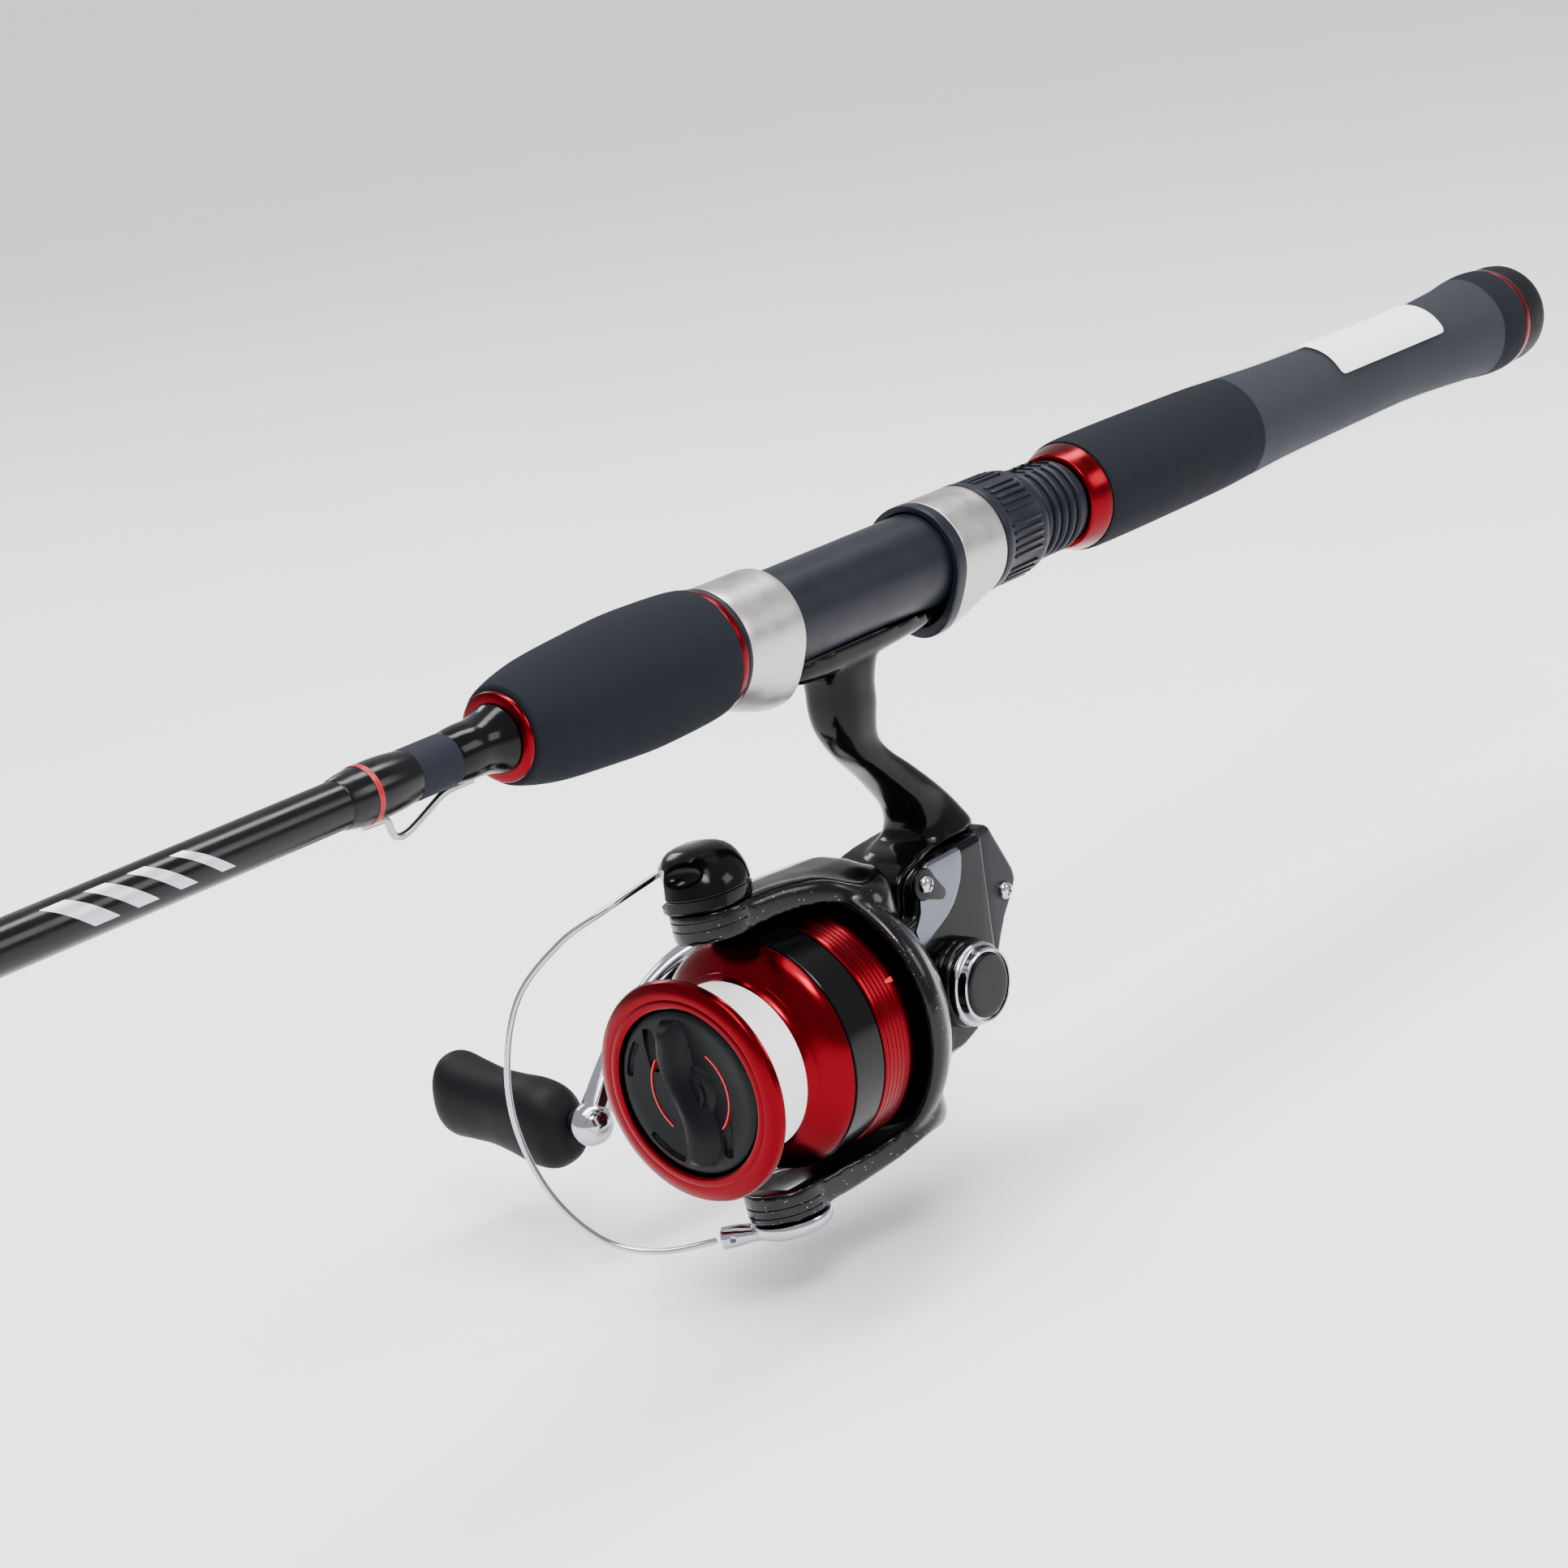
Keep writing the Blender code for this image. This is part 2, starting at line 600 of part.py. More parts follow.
def build_covers(outline):
    cover = plate("side_cover", outline, COVER_FACE, BODY_LEFT - GAP, "black_gloss", origin=ROD_ORIGIN)
    soften(cover, 1.6, 50.0)
    combine(cover, plate("cover_hollow", inset(outline, 2.6), COVER_FACE + 2.2, 0.0, None,
                         origin=ROD_ORIGIN), 'DIFFERENCE')
    slope = block("cover_slope", Vector((-40, -10, -8)) * MM, Vector((40, 10, 0)) * MM)
    slope.rotation_euler = (math.radians(-COVER_SLOPE), 0.0, 0.0)
    slope.location = place(105.0, COVER_FACE + 1.4, -101.4)
    combine(cover, slope, 'DIFFERENCE')
    combine(cover, crank_cylinder("cap_boss", -17.0, COVER_FACE + 1.0, 9.6, FINE), 'UNION')
    combine(cover, crank_cylinder("cover_bore", -30.0, 0.0, 4.2), 'DIFFERENCE')
    tail = plate("rear_cover", TAIL, -10.4, 10.4, "black_satin", origin=ROD_ORIGIN)
    soften(tail, 2.4, 60.0)
    for piece in (cover, tail):
        smooth(piece)


SCREWS = [("front_screw", 101.2, -12.9, -61.8), ("low_screw", 119.4, -12.9, -91.6),
          ("tail_screw", 131.4, -10.7, -73.4)]


def build_screws():
    for name, along, face, up in SCREWS:
        head = [(0.0, 0.0), (0.0, 1.9), (0.5, 2.0), (1.2, 1.5), (1.4, 0.0)]
        profile = [(face - low, radius) for low, radius in reversed(head)]
        turned(name, profile, "steel", place(along, 0.0, up), "+y", steps=COARSE)


def build_lever():
    outline = [(104.0, -103.3), (113.0, -101.4), (114.2, -102.8), (112.6, -104.2), (104.0, -106.2),
               (102.4, -104.8)]
    pivot = empty_at("lever_axis", place(105.0, 0.0, -104.6))
    lever = plate("anti_reverse_lever", [(a - 105.0, u + 104.6) for a, u in outline], -3.2, 3.2,
                  "black_satin", parent=pivot)
    smooth(lever)


# Reel: drive ------------------------------------------------------------------------------------

GEAR_TEETH = 35                  # five times the pinion's seven


def gear_outline(teeth, root, tip):
    points = []
    for k in range(teeth):
        for share, radius in ((0.22, root), (0.38, tip), (0.62, tip), (0.78, root)):
            turn = TAU * (k + share) / teeth
            points.append((radius * math.cos(turn), radius * math.sin(turn)))
    return points


def build_drive():
    crank = empty_at("crank_axis", crank_origin())
    gear = plate("drive_gear", gear_outline(GEAR_TEETH, 9.8, 10.6), 5.6, 9.0, "zinc", parent=crank)
    bore = rod_core("gear_bore", 0.0, 12.0, 3.6, Vector((0.0, 0.0, 0.0)), "+y")
    bore.parent = crank
    combine(gear, bore, 'DIFFERENCE')
    turned("handle_axle", [(-17.0, 0.0), (-17.0, 2.8), (-16.6, 3.2), (-3.8, 3.2), (-2.8, 1.35),
                           (2.8, 1.35), (3.8, 3.2), (31.6, 3.2), (32.0, 2.8), (32.0, 0.0)],
           "steel", Vector((0.0, 0.0, 0.0)), "+y", MEDIUM, crank)
    turned("handle_collar", [(20.3, 7.6), (21.0, 8.0), (26.0, 7.6), (34.0, 6.2), (41.0, 6.2)],
           "chrome", Vector((0.0, 0.0, 0.0)), "+y", FINE, crank, bore=3.6)
    for name, low, high, outer in (("left_bearing", -9.9, -8.2, 6.6), ("right_bearing", 9.3, 10.2, 6.6)):
        turned(name, [(low, outer - 0.2), (low + 0.2, outer), (high - 0.2, outer), (high, outer - 0.2)],
               "steel", crank_origin(), "+y", MEDIUM, bore=3.6)
    cap = turned("screw_cap", [(-20.7, 0.0), (-20.7, 7.6), (-20.4, 8.0), (-18.8, 8.3), (-18.3, 8.9),
                               (-17.8, 9.1), (-17.3, 9.1), (-17.3, 0.0)],
                 "chrome", Vector((0.0, 0.0, 0.0)), "+y", FINE, crank)
    recess = rod_core("cap_recess", -24.0, -19.9, 7.4, Vector((0.0, 0.0, 0.0)), "+y", FINE)
    recess.parent = crank
    combine(cap, recess, 'DIFFERENCE')
    turned("cap_insert", [(-20.9, 0.0), (-20.9, 6.2), (-20.6, 7.0), (-20.2, 7.1), (-20.2, 0.0)],
           "black_gloss", Vector((0.0, 0.0, 0.0)), "+y", FINE, crank)
    return crank


ARM_LEVEL = 51.0               # handle arm and its fold hinge, out from the rod's plane
ARM = [(8.4, 0.0, 0.6, 3.0), (7.6, 0.0, 4.2, 5.4), (4.0, 0.1, 7.2, 5.8), (-2.0, 0.3, 7.5, 5.6),
       (-10.0, 0.6, 6.9, 4.6), (-19.0, 0.0, 6.1, 3.6), (-28.0, -2.6, 5.3, 3.0), (-36.5, -7.2, 4.6, 2.8),
       (-43.6, -12.8, 4.0, 2.8), (-48.4, -17.6, 3.6, 3.0), (-50.4, -19.8, 3.4, 3.0)]
BALL = (-51.2, -20.8)
BALL_RADIUS = 4.9
KNOB_START, KNOB_END = 56.0, 93.0


def arm_ring(index):
    """One oval section across the arm's bent centre line."""
    along, up, half_height, half_thick = ARM[index]
    before = ARM[max(index - 1, 0)]
    after = ARM[min(index + 1, len(ARM) - 1)]
    run = Vector((after[0] - before[0], after[1] - before[1])).normalized()
    normal = Vector((-run.y, run.x))
    ring = []
    for k in range(12):
        turn = TAU * k / 12
        lift = half_height * math.cos(turn)
        ring.append(Vector((along + normal.x * lift, ARM_LEVEL + half_thick * math.sin(turn),
                            up + normal.y * lift)) * MM)
    return ring


def build_crank(crank):
    fold = empty_at("fold_axis", Vector((0.0, ARM_LEVEL, 0.0)) * MM, parent=crank)
    grip_at = Vector((BALL[0], -ARM_LEVEL, BALL[1])) * MM
    arm = loft("handle_arm", [arm_ring(i) for i in range(len(ARM))], "chrome", parent=fold,
               origin=Vector((0.0, -ARM_LEVEL, 0.0)) * MM)
    ball = turned("arm_end", [(ARM_LEVEL + BALL_RADIUS * math.sin(math.radians(a)),
                               BALL_RADIUS * math.cos(math.radians(a)))
                              for a in (-90, -72, -54, -36, -18, 0, 18, 36, 54)]
                  + [(KNOB_START - 0.3, 2.4), (KNOB_START - 0.3, 1.8), (KNOB_END - 8.0, 1.8),
                     (KNOB_END - 8.0, 0.0)],
                  None, grip_at, "+y", MEDIUM, fold)
    combine(arm, ball, 'UNION')
    spin = empty_at("knob_axis", grip_at, parent=fold)
    middle = (KNOB_START + KNOB_END) / 2
    rows = [(KNOB_START, 3.6, 3.0), (KNOB_START + 1.6, 6.6, 5.2), (KNOB_START + 5, 9.0, 7.2),
            (KNOB_START + 10, 9.6, 7.6), (KNOB_START + 16, 8.9, 7.0), (KNOB_START + 22, 8.5, 6.7),
            (KNOB_START + 28, 9.0, 7.0), (KNOB_START + 33, 9.5, 7.3), (KNOB_END - 2.0, 8.4, 6.4),
            (KNOB_END - 0.4, 5.6, 4.2)]
    rings = []
    for across, tall, wide in rows:
        lift = 0.16 * (across - middle)
        rings.append([Vector((wide * math.cos(t), across, lift + tall * math.sin(t))) * MM
                      for t in (TAU * k / MEDIUM for k in range(MEDIUM))])
    knob = loft("handle_knob", rings, "rubber", parent=spin)
    bore = rod_core("knob_bore", KNOB_START - 5.0, KNOB_END - 7.5, 2.15, Vector((0.0, 0.0, 0.0)), "+y", COARSE)
    bore.parent = spin
    combine(knob, bore, 'DIFFERENCE')


# Reel: rotor and bail -----------------------------------------------------------------------------

def build_rotor():
    frame = empty_at("rotor_axis", REEL_ORIGIN, (math.radians(ROTOR_TILT), 0.0, 0.0))
    zero = Vector((0.0, 0.0, 0.0))
    cup = [(77.4, 28.2), (77.4, 29.6), (78.2, 30.5), (81.0, 30.5), (84.6, 28.6), (88.4, 25.6),
           (91.0, 23.4), (91.0, 21.8), (85.6, 21.8), (85.6, 4.7), (80.4, 4.7), (80.4, 7.4), (82.8, 7.4),
           (82.8, 28.2)]
    rotor = turned_loop("rotor", cup, "black_gloss", frame, WIDE + 4)
    arm = [(97.0, 24.0, 26.4, 9.0), (94.0, 24.0, 29.6, 11.4), (90.0, 23.6, 31.8, 12.6),
           (84.0, 27.0, 32.6, 13.0), (75.0, 27.6, 33.0, 11.2),
           (65.0, 27.2, 33.4, 9.4), (PIVOT_STATION, 27.0, 33.2, 8.2)]
    for side, label in ((1, "upper"), (-1, "lower")):
        rings = []
        for along, inner, outer, half in arm:
            rim = [(-half, inner), (half, inner), (half, outer - 1.6), (half - 2.6, outer - 0.2),
                   (0.0, outer), (-half + 2.6, outer - 0.2), (-half, outer - 1.6)]
            rings.append([Vector((along, across, side * up)) * MM for across, up in rim])
        solid = loft(f"{label}_arm_solid", rings, None, parent=frame)
        combine(rotor, solid, 'UNION')
        hub = rod_core(f"{label}_hub_solid", 26.7, 33.3, 8.8, Vector((PIVOT_STATION * MM, 0.0, 0.0)),
                       "+z", FINE + 2)
        hub.parent = frame
        if side < 0:
            hub.rotation_euler = (math.radians(180.0), 0.0, 0.0)
        combine(rotor, hub, 'UNION')
    turned("pinion", [(78.6, 4.0), (79.0, 4.4), (92.5, 4.4), (92.5, 3.6), (96.5, 3.6)], "brass", zero,
           steps=MEDIUM, parent=frame, bore=2.4)
    turned("rotor_nut", [(75.0, 6.6), (75.4, 7.0), (79.6, 7.0), (80.1, 6.6)], "steel", zero, steps=12,
           parent=frame, bore=4.9)
    return frame


def bail_point(up, reach):
    """A point on the closed bail's plane, in the rotor's own frame, from the pivot line."""
    turn = math.radians(BAIL_ANGLE)
    return Vector((PIVOT_STATION - reach * math.cos(turn), reach * math.sin(turn), up)) * MM


def build_bail(rotor_frame):
    bail = empty_at("bail_axis", Vector((PIVOT_STATION * MM, 0.0, 0.0)), parent=rotor_frame)
    shift = Vector((-PIVOT_STATION * MM, 0.0, 0.0))
    rows = [(33.6, 54.4, 0.0, 8.6, 8.6), (34.2, 54.4, 0.0, 8.9, 8.9), (37.6, 54.9, -0.2, 9.0, 8.6),
            (41.0, 56.4, -0.8, 8.9, 7.4), (43.8, 57.6, -1.4, 7.4, 5.8), (45.4, 57.2, -1.6, 4.8, 3.8)]
    rings = []
    for up, along, across, long_half, wide_half in rows:
        rings.append([Vector((along + long_half * math.cos(t), across + wide_half * math.sin(t), up)) * MM
                      for t in (TAU * k / 24 for k in range(24))])
    head = loft("roller_arm", rings, "black_gloss", parent=bail, origin=shift)
    clear = block("roller_room", Vector((40, 3.6, 34.9)) * MM, Vector((68, 14, 50)) * MM, parent=bail)
    clear.location += shift
    combine(head, clear, 'DIFFERENCE')
    roller_at = Vector((57.4, 0.0, 38.8)) * MM + shift
    turned("line_roller", [(4.0, 3.0), (4.4, 3.2), (5.6, 2.6), (7.2, 2.6), (8.4, 3.2), (8.8, 3.0)],
           "chrome", roller_at, "+y", MEDIUM, bail, bore=1.45)
    outline = [(54.0, 37.6), (56.0, 35.6), (60.6, 35.6), (63.4, 38.6), (62.6, 42.0), (59.4, 43.8),
               (55.6, 42.8), (53.6, 41.0)]
    holder = plate("wire_holder", [(a - PIVOT_STATION, u) for a, u in outline], 9.3, 11.1,
                   "satin_metal", parent=bail)
    combine(holder, rod_core("roller_pin", 3.9, 10.0, 1.15, roller_at, "+y", COARSE, None, bail), 'UNION')
    smooth(holder)
    turn = math.radians(BAIL_ANGLE)
    ahead = Vector((-math.cos(turn), math.sin(turn), 0.0))
    wire = [Vector((54.8, 12.2, 39.9)) * MM]
    wire += [bail_point(*p) for p in ((36.6, 21.0), (32.0, 31.8), (23.0, 42.8), (9.0, 49.0),
                                      (-5.3, 50.3), (-20.0, 46.6), (-31.0, 38.6), (-35.6, 28.0),
                                      (-35.9, 16.4))]
    tube("bail_wire", [p + shift for p in wire], 0.85, "chrome", parent=bail, sides=1, smooth_path=4)
    cam = rod_core("cam_arm", -37.4, -33.6, 8.6, Vector((0.0, 0.0, 0.0)), "+z", 24, "chrome", bail)
    cam = to_mesh(cam)
    soften(cam, 0.8)
    boss = [bail_point(-35.7, d) + shift for d in (5.0, 8.0, 11.4, 15.2)]
    sections = ((2.0, 4.2), (1.9, 3.2), (2.3, 2.6), (2.3, 2.3))
    side = Vector((-ahead.y, ahead.x, 0.0))
    rings = []
    for centre, (tall, wide) in zip(boss, sections):
        rings.append([centre + (side * wide * math.cos(t) + Vector((0, 0, 1)) * tall * math.sin(t)) * MM
                      for t in (TAU * k / 12 for k in range(12))])
    combine(cam, loft("cam_boss", rings, None, parent=bail), 'UNION')
    smooth(cam)


# Reel: spool ---------------------------------------------------------------------------------------

SPOOL_LOOP = [(34.2, 18.0), (34.0, 19.4), (34.6, 22.4), (35.4, 23.4), (36.4, 23.5), (37.2, 22.8),
              (38.6, 19.4), (40.0, 17.6), (50.6, 17.6), (51.8, 18.6), (53.6, 21.6), (55.4, 23.8),
              (56.4, 24.6), (57.2, 24.8), (57.2, 24.3), (66.8, 24.3), (67.0, 25.2), (71.0, 25.5),
              (76.0, 25.8), (76.0, 24.0), (58.0, 22.6), (53.6, 14.8), (53.6, 3.0),
              (48.0, 3.0), (48.0, 14.8), (43.8, 14.8), (43.4, 16.2), (37.4, 16.2), (36.8, 17.8)]


def build_spool():
    zero = Vector((0.0, 0.0, 0.0))
    shaft_frame = empty_at("shaft_axis", REEL_ORIGIN)
    shaft = turned("main_shaft", [(37.5, 0.0), (37.5, 1.6), (38.0, 2.0), (113.6, 2.0), (114.0, 1.6),
                                  (114.0, 0.0)], "steel", zero, steps=16, parent=shaft_frame)
    flat = block("shaft_flat", Vector((84, -4, -6)) * MM, Vector((130, 4, 0.4)) * MM, parent=shaft_frame)
    combine(shaft, flat, 'DIFFERENCE')
    turned_loop("spool", SPOOL_LOOP, "red_metal", shaft_frame, WIDE)
    turned("spool_wrap", [(41.0, 17.95), (41.3, 18.2), (50.0, 18.2), (50.3, 17.95)], "paper", zero,
           steps=WIDE, parent=shaft_frame, bore=17.75)
    turned("skirt_band", [(57.5, 24.9), (57.9, 25.1), (66.1, 25.1), (66.5, 24.9)], "black_gloss",
           zero, steps=WIDE, parent=shaft_frame, bore=24.6)
    turned("drag_washers", [(44.6, 14.0), (44.8, 14.4), (47.5, 14.4), (47.7, 14.0)], "felt", zero,
           steps=WIDE, parent=shaft_frame, bore=2.6)
    knob = turned("drag_knob", [(35.4, 0.0), (35.4, 7.0), (35.0, 11.5), (34.6, 15.4), (35.0, 16.8),
                                (35.6, 17.3), (36.3, 17.3), (36.9, 15.8), (42.9, 15.8), (43.4, 12.0),
                                (43.4, 0.0)],
                  "black_satin", zero, steps=WIDE, parent=shaft_frame)
    rings = []
    for along, tall, wide in ((37.0, 16.0, 5.2), (34.4, 15.6, 4.4), (32.0, 14.2, 3.2), (30.8, 12.4, 2.0)):
        rings.append([Vector((along, wide * math.sin(t), tall * math.cos(t))) * MM
                      for t in (TAU * k / 20 for k in range(20))])
    bar = loft("knob_bar", rings, None, parent=shaft_frame)
    bar.rotation_euler = (math.radians(ROTOR_TILT), 0.0, 0.0)
    combine(knob, bar, 'UNION')
    well = rod_core("knob_well", 36.8, 50.0, 2.4, zero, "+x", COARSE)
    well.parent = shaft_frame
    combine(knob, well, 'DIFFERENCE')
    return shaft_frame


def main():
    clear_scene()
    new_collection(PARTS)
    new_collection(CUTTERS)
    for name, values in FINISHES.items():
        MATERIALS[name] = finish_material(name, *values)
    build_grips()
    build_film()
    build_front_checks()
    build_seat()
    tip_axis = build_blank()
    build_guides(tip_axis)
    outline = build_housing()
    build_covers(outline)
    build_screws()
    build_lever()
    crank = build_drive()
    build_crank(crank)
    rotor_frame = build_rotor()
    build_bail(rotor_frame)
    build_spool()


main()
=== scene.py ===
"""Spinning rod and reel: the finished pieces, their surfaces and the studio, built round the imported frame.

Local sizes are in millimetres. A station is a place along the rod, counted back from the front edge
of the foregrip; the rod's axis is X, the reel hangs on the -Z side and its handle is on the +Y side.
"""
import math

import bmesh
import bpy
from mathutils import Matrix, Vector


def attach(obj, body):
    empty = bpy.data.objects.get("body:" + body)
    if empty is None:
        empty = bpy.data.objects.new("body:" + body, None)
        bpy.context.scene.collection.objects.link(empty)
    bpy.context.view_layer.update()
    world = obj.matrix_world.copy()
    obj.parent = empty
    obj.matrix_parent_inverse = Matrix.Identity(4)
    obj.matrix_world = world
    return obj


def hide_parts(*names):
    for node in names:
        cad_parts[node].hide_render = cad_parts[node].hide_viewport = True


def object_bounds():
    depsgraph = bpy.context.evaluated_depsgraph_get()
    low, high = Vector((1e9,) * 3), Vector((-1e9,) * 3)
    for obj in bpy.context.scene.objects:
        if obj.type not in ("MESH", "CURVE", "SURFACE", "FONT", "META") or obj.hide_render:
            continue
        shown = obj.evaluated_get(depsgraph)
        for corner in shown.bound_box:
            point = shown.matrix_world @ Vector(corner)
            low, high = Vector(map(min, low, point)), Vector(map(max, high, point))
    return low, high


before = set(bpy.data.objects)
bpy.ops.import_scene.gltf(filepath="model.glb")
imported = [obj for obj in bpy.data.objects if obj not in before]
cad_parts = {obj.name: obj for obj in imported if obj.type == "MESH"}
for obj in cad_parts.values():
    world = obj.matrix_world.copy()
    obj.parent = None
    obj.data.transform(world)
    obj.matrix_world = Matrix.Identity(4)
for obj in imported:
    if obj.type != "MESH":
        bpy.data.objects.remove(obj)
CAD_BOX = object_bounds()

bl_info = {
    "name": "Spinning Rod and Reel",
    "version": (1, 0, 0),
    "blender": (4, 5, 0),
    "location": "View3D > Sidebar > Rod and Reel",
    "description": "Builds a light spinning rod and its reel, piece by piece, with a studio round them",
    "category": "Add Mesh",
}

MM = 0.001
TAU = 2.0 * math.pi
X, Y, Z = Vector((1, 0, 0)), Vector((0, 1, 0)), Vector((0, 0, 1))

HANDLE_LENGTH = 390.0      # foregrip edge to butt face
TIP_STATION = -1590.0
JOINT_STATION = -610.0     # where the two sections meet
REEL_DROP = 84.6           # rod axis down to the spool axis
ROTOR_TILT = math.radians(-8.0)
BAIL_ANGLE = math.radians(55.0)
PIVOT = 54.4               # station of the bail pivots
ARM_LEVEL = 51.0           # handle arm, out from the rod's plane

SCALE = Matrix.Scale(MM, 4)
ROD = Matrix.Translation((-HANDLE_LENGTH * MM, 0, 0)) @ SCALE
REEL = Matrix.Translation((-HANDLE_LENGTH * MM, 0, -REEL_DROP * MM)) @ SCALE
ROTOR = REEL @ Matrix.Rotation(ROTOR_TILT, 4, 'X')
CRANK = Matrix.Translation((-0.2813, 0, -0.0859)) @ SCALE     # the handle's axle
SIDEWAYS = Matrix.Rotation(math.radians(90), 4, 'Z')    # turns a shape's X axis to +Y
UPRIGHT = Matrix.Rotation(math.radians(-90), 4, 'Y')    # turns a shape's X axis to +Z


# Surfaces --------------------------------------------------------------------------------------

def tint(code):
    """An sRGB hex colour as linear red, green, blue and alpha."""
    shares = [int(code[i:i + 2], 16) / 255 for i in (1, 3, 5)]
    return (*[c / 12.92 if c <= 0.04045 else ((c + 0.055) / 1.055) ** 2.4 for c in shares], 1.0)


def add_node(tree, kind, settings=None, links=None):
    """Add a node, set its options or sockets, and link its inputs."""
    node = tree.nodes.new(kind)
    for key, value in (settings or {}).items():
        if isinstance(key, str) and hasattr(node, key):
            setattr(node, key, value)
        else:
            node.inputs[key].default_value = value
    for key, socket in (links or {}).items():
        tree.links.new(socket, node.inputs[key])
    return node


RINGS = (1.0, 0.02, 0.02)      # a stretch that draws lines round the rod's axis
SURFACES = {}


def surface(name, base, second, rough, cloud=6.0, grain=0.4, relief=0.01, stretch=(1, 1, 1),
            spread=0.05, flake=None, bands=None, **sockets):
    """A finish with a clouded colour and gloss and a fine relief; sizes in millimetres.

    cloud is the size of the colour's patches, grain and relief the width and depth of the fine
    texture, stretch its shape along each axis. flake is the size of bright flakes in the paint and
    bands the spacing of turned or wound lines round the rod's axis.
    """
    material = bpy.data.materials.new(name)
    material.use_nodes = True
    tree = material.node_tree
    shader = tree.nodes["Principled BSDF"]
    place = add_node(tree, "ShaderNodeTexCoord").outputs["Object"]
    spaced = add_node(tree, "ShaderNodeMapping", {"Scale": stretch}, {"Vector": place}).outputs[0]
    patch = add_node(tree, "ShaderNodeTexNoise", {"Scale": 1 / (cloud * MM), "Detail": 3.0},
                     {"Vector": spaced}).outputs[0]
    colour = add_node(tree, "ShaderNodeMix", {"data_type": 'RGBA', 6: tint(base), 7: tint(second)},
                      {0: patch}).outputs[2]
    gloss = add_node(tree, "ShaderNodeMapRange", {"From Min": 0.3, "From Max": 0.7,
                     "To Min": max(rough - spread, 0.02), "To Max": rough + spread},
                     {"Value": patch}).outputs[0]
    fine = add_node(tree, "ShaderNodeTexNoise", {"Scale": 1 / (grain * MM), "Detail": 2.0},
                    {"Vector": spaced}).outputs[0]
    height = fine
    if bands:
        wave = add_node(tree, "ShaderNodeTexWave", {"Scale": 0.314 / (bands * MM), "Distortion": 0.0},
                        {"Vector": place}).outputs[1]
        height = add_node(tree, "ShaderNodeMath", {"operation": 'MULTIPLY_ADD', 1: 2.0},
                          {0: wave, 2: fine}).outputs[0]
    if flake:
        cells = add_node(tree, "ShaderNodeTexVoronoi", {"Scale": 1 / (flake * MM)}, {"Vector": place})
        shine = add_node(tree, "ShaderNodeSeparateColor", None, {0: cells.outputs["Color"]}).outputs[0]
        chosen = add_node(tree, "ShaderNodeMath", {"operation": 'GREATER_THAN', 1: 0.985},
                          {0: shine}).outputs[0]
        near = add_node(tree, "ShaderNodeMath", {"operation": 'LESS_THAN', 1: 0.34},
                        {0: cells.outputs["Distance"]}).outputs[0]
        dot = add_node(tree, "ShaderNodeMath", {"operation": 'MULTIPLY'}, {0: chosen, 1: near}).outputs[0]
        colour = add_node(tree, "ShaderNodeMix", {"data_type": 'RGBA', 7: tint("#b8bcc8")},
                          {0: dot, 6: colour}).outputs[2]
        tree.links.new(dot, shader.inputs["Metallic"])
    tree.links.new(colour, shader.inputs["Base Color"])
    tree.links.new(gloss, shader.inputs["Roughness"])
    bump = add_node(tree, "ShaderNodeBump", {"Strength": 1.0, "Distance": relief * MM},
                    {"Height": height})
    tree.links.new(bump.outputs[0], shader.inputs["Normal"])
    for key, value in sockets.items():
        shader.inputs[key.replace("_", " ")].default_value = value
    SURFACES[name] = material
    return material


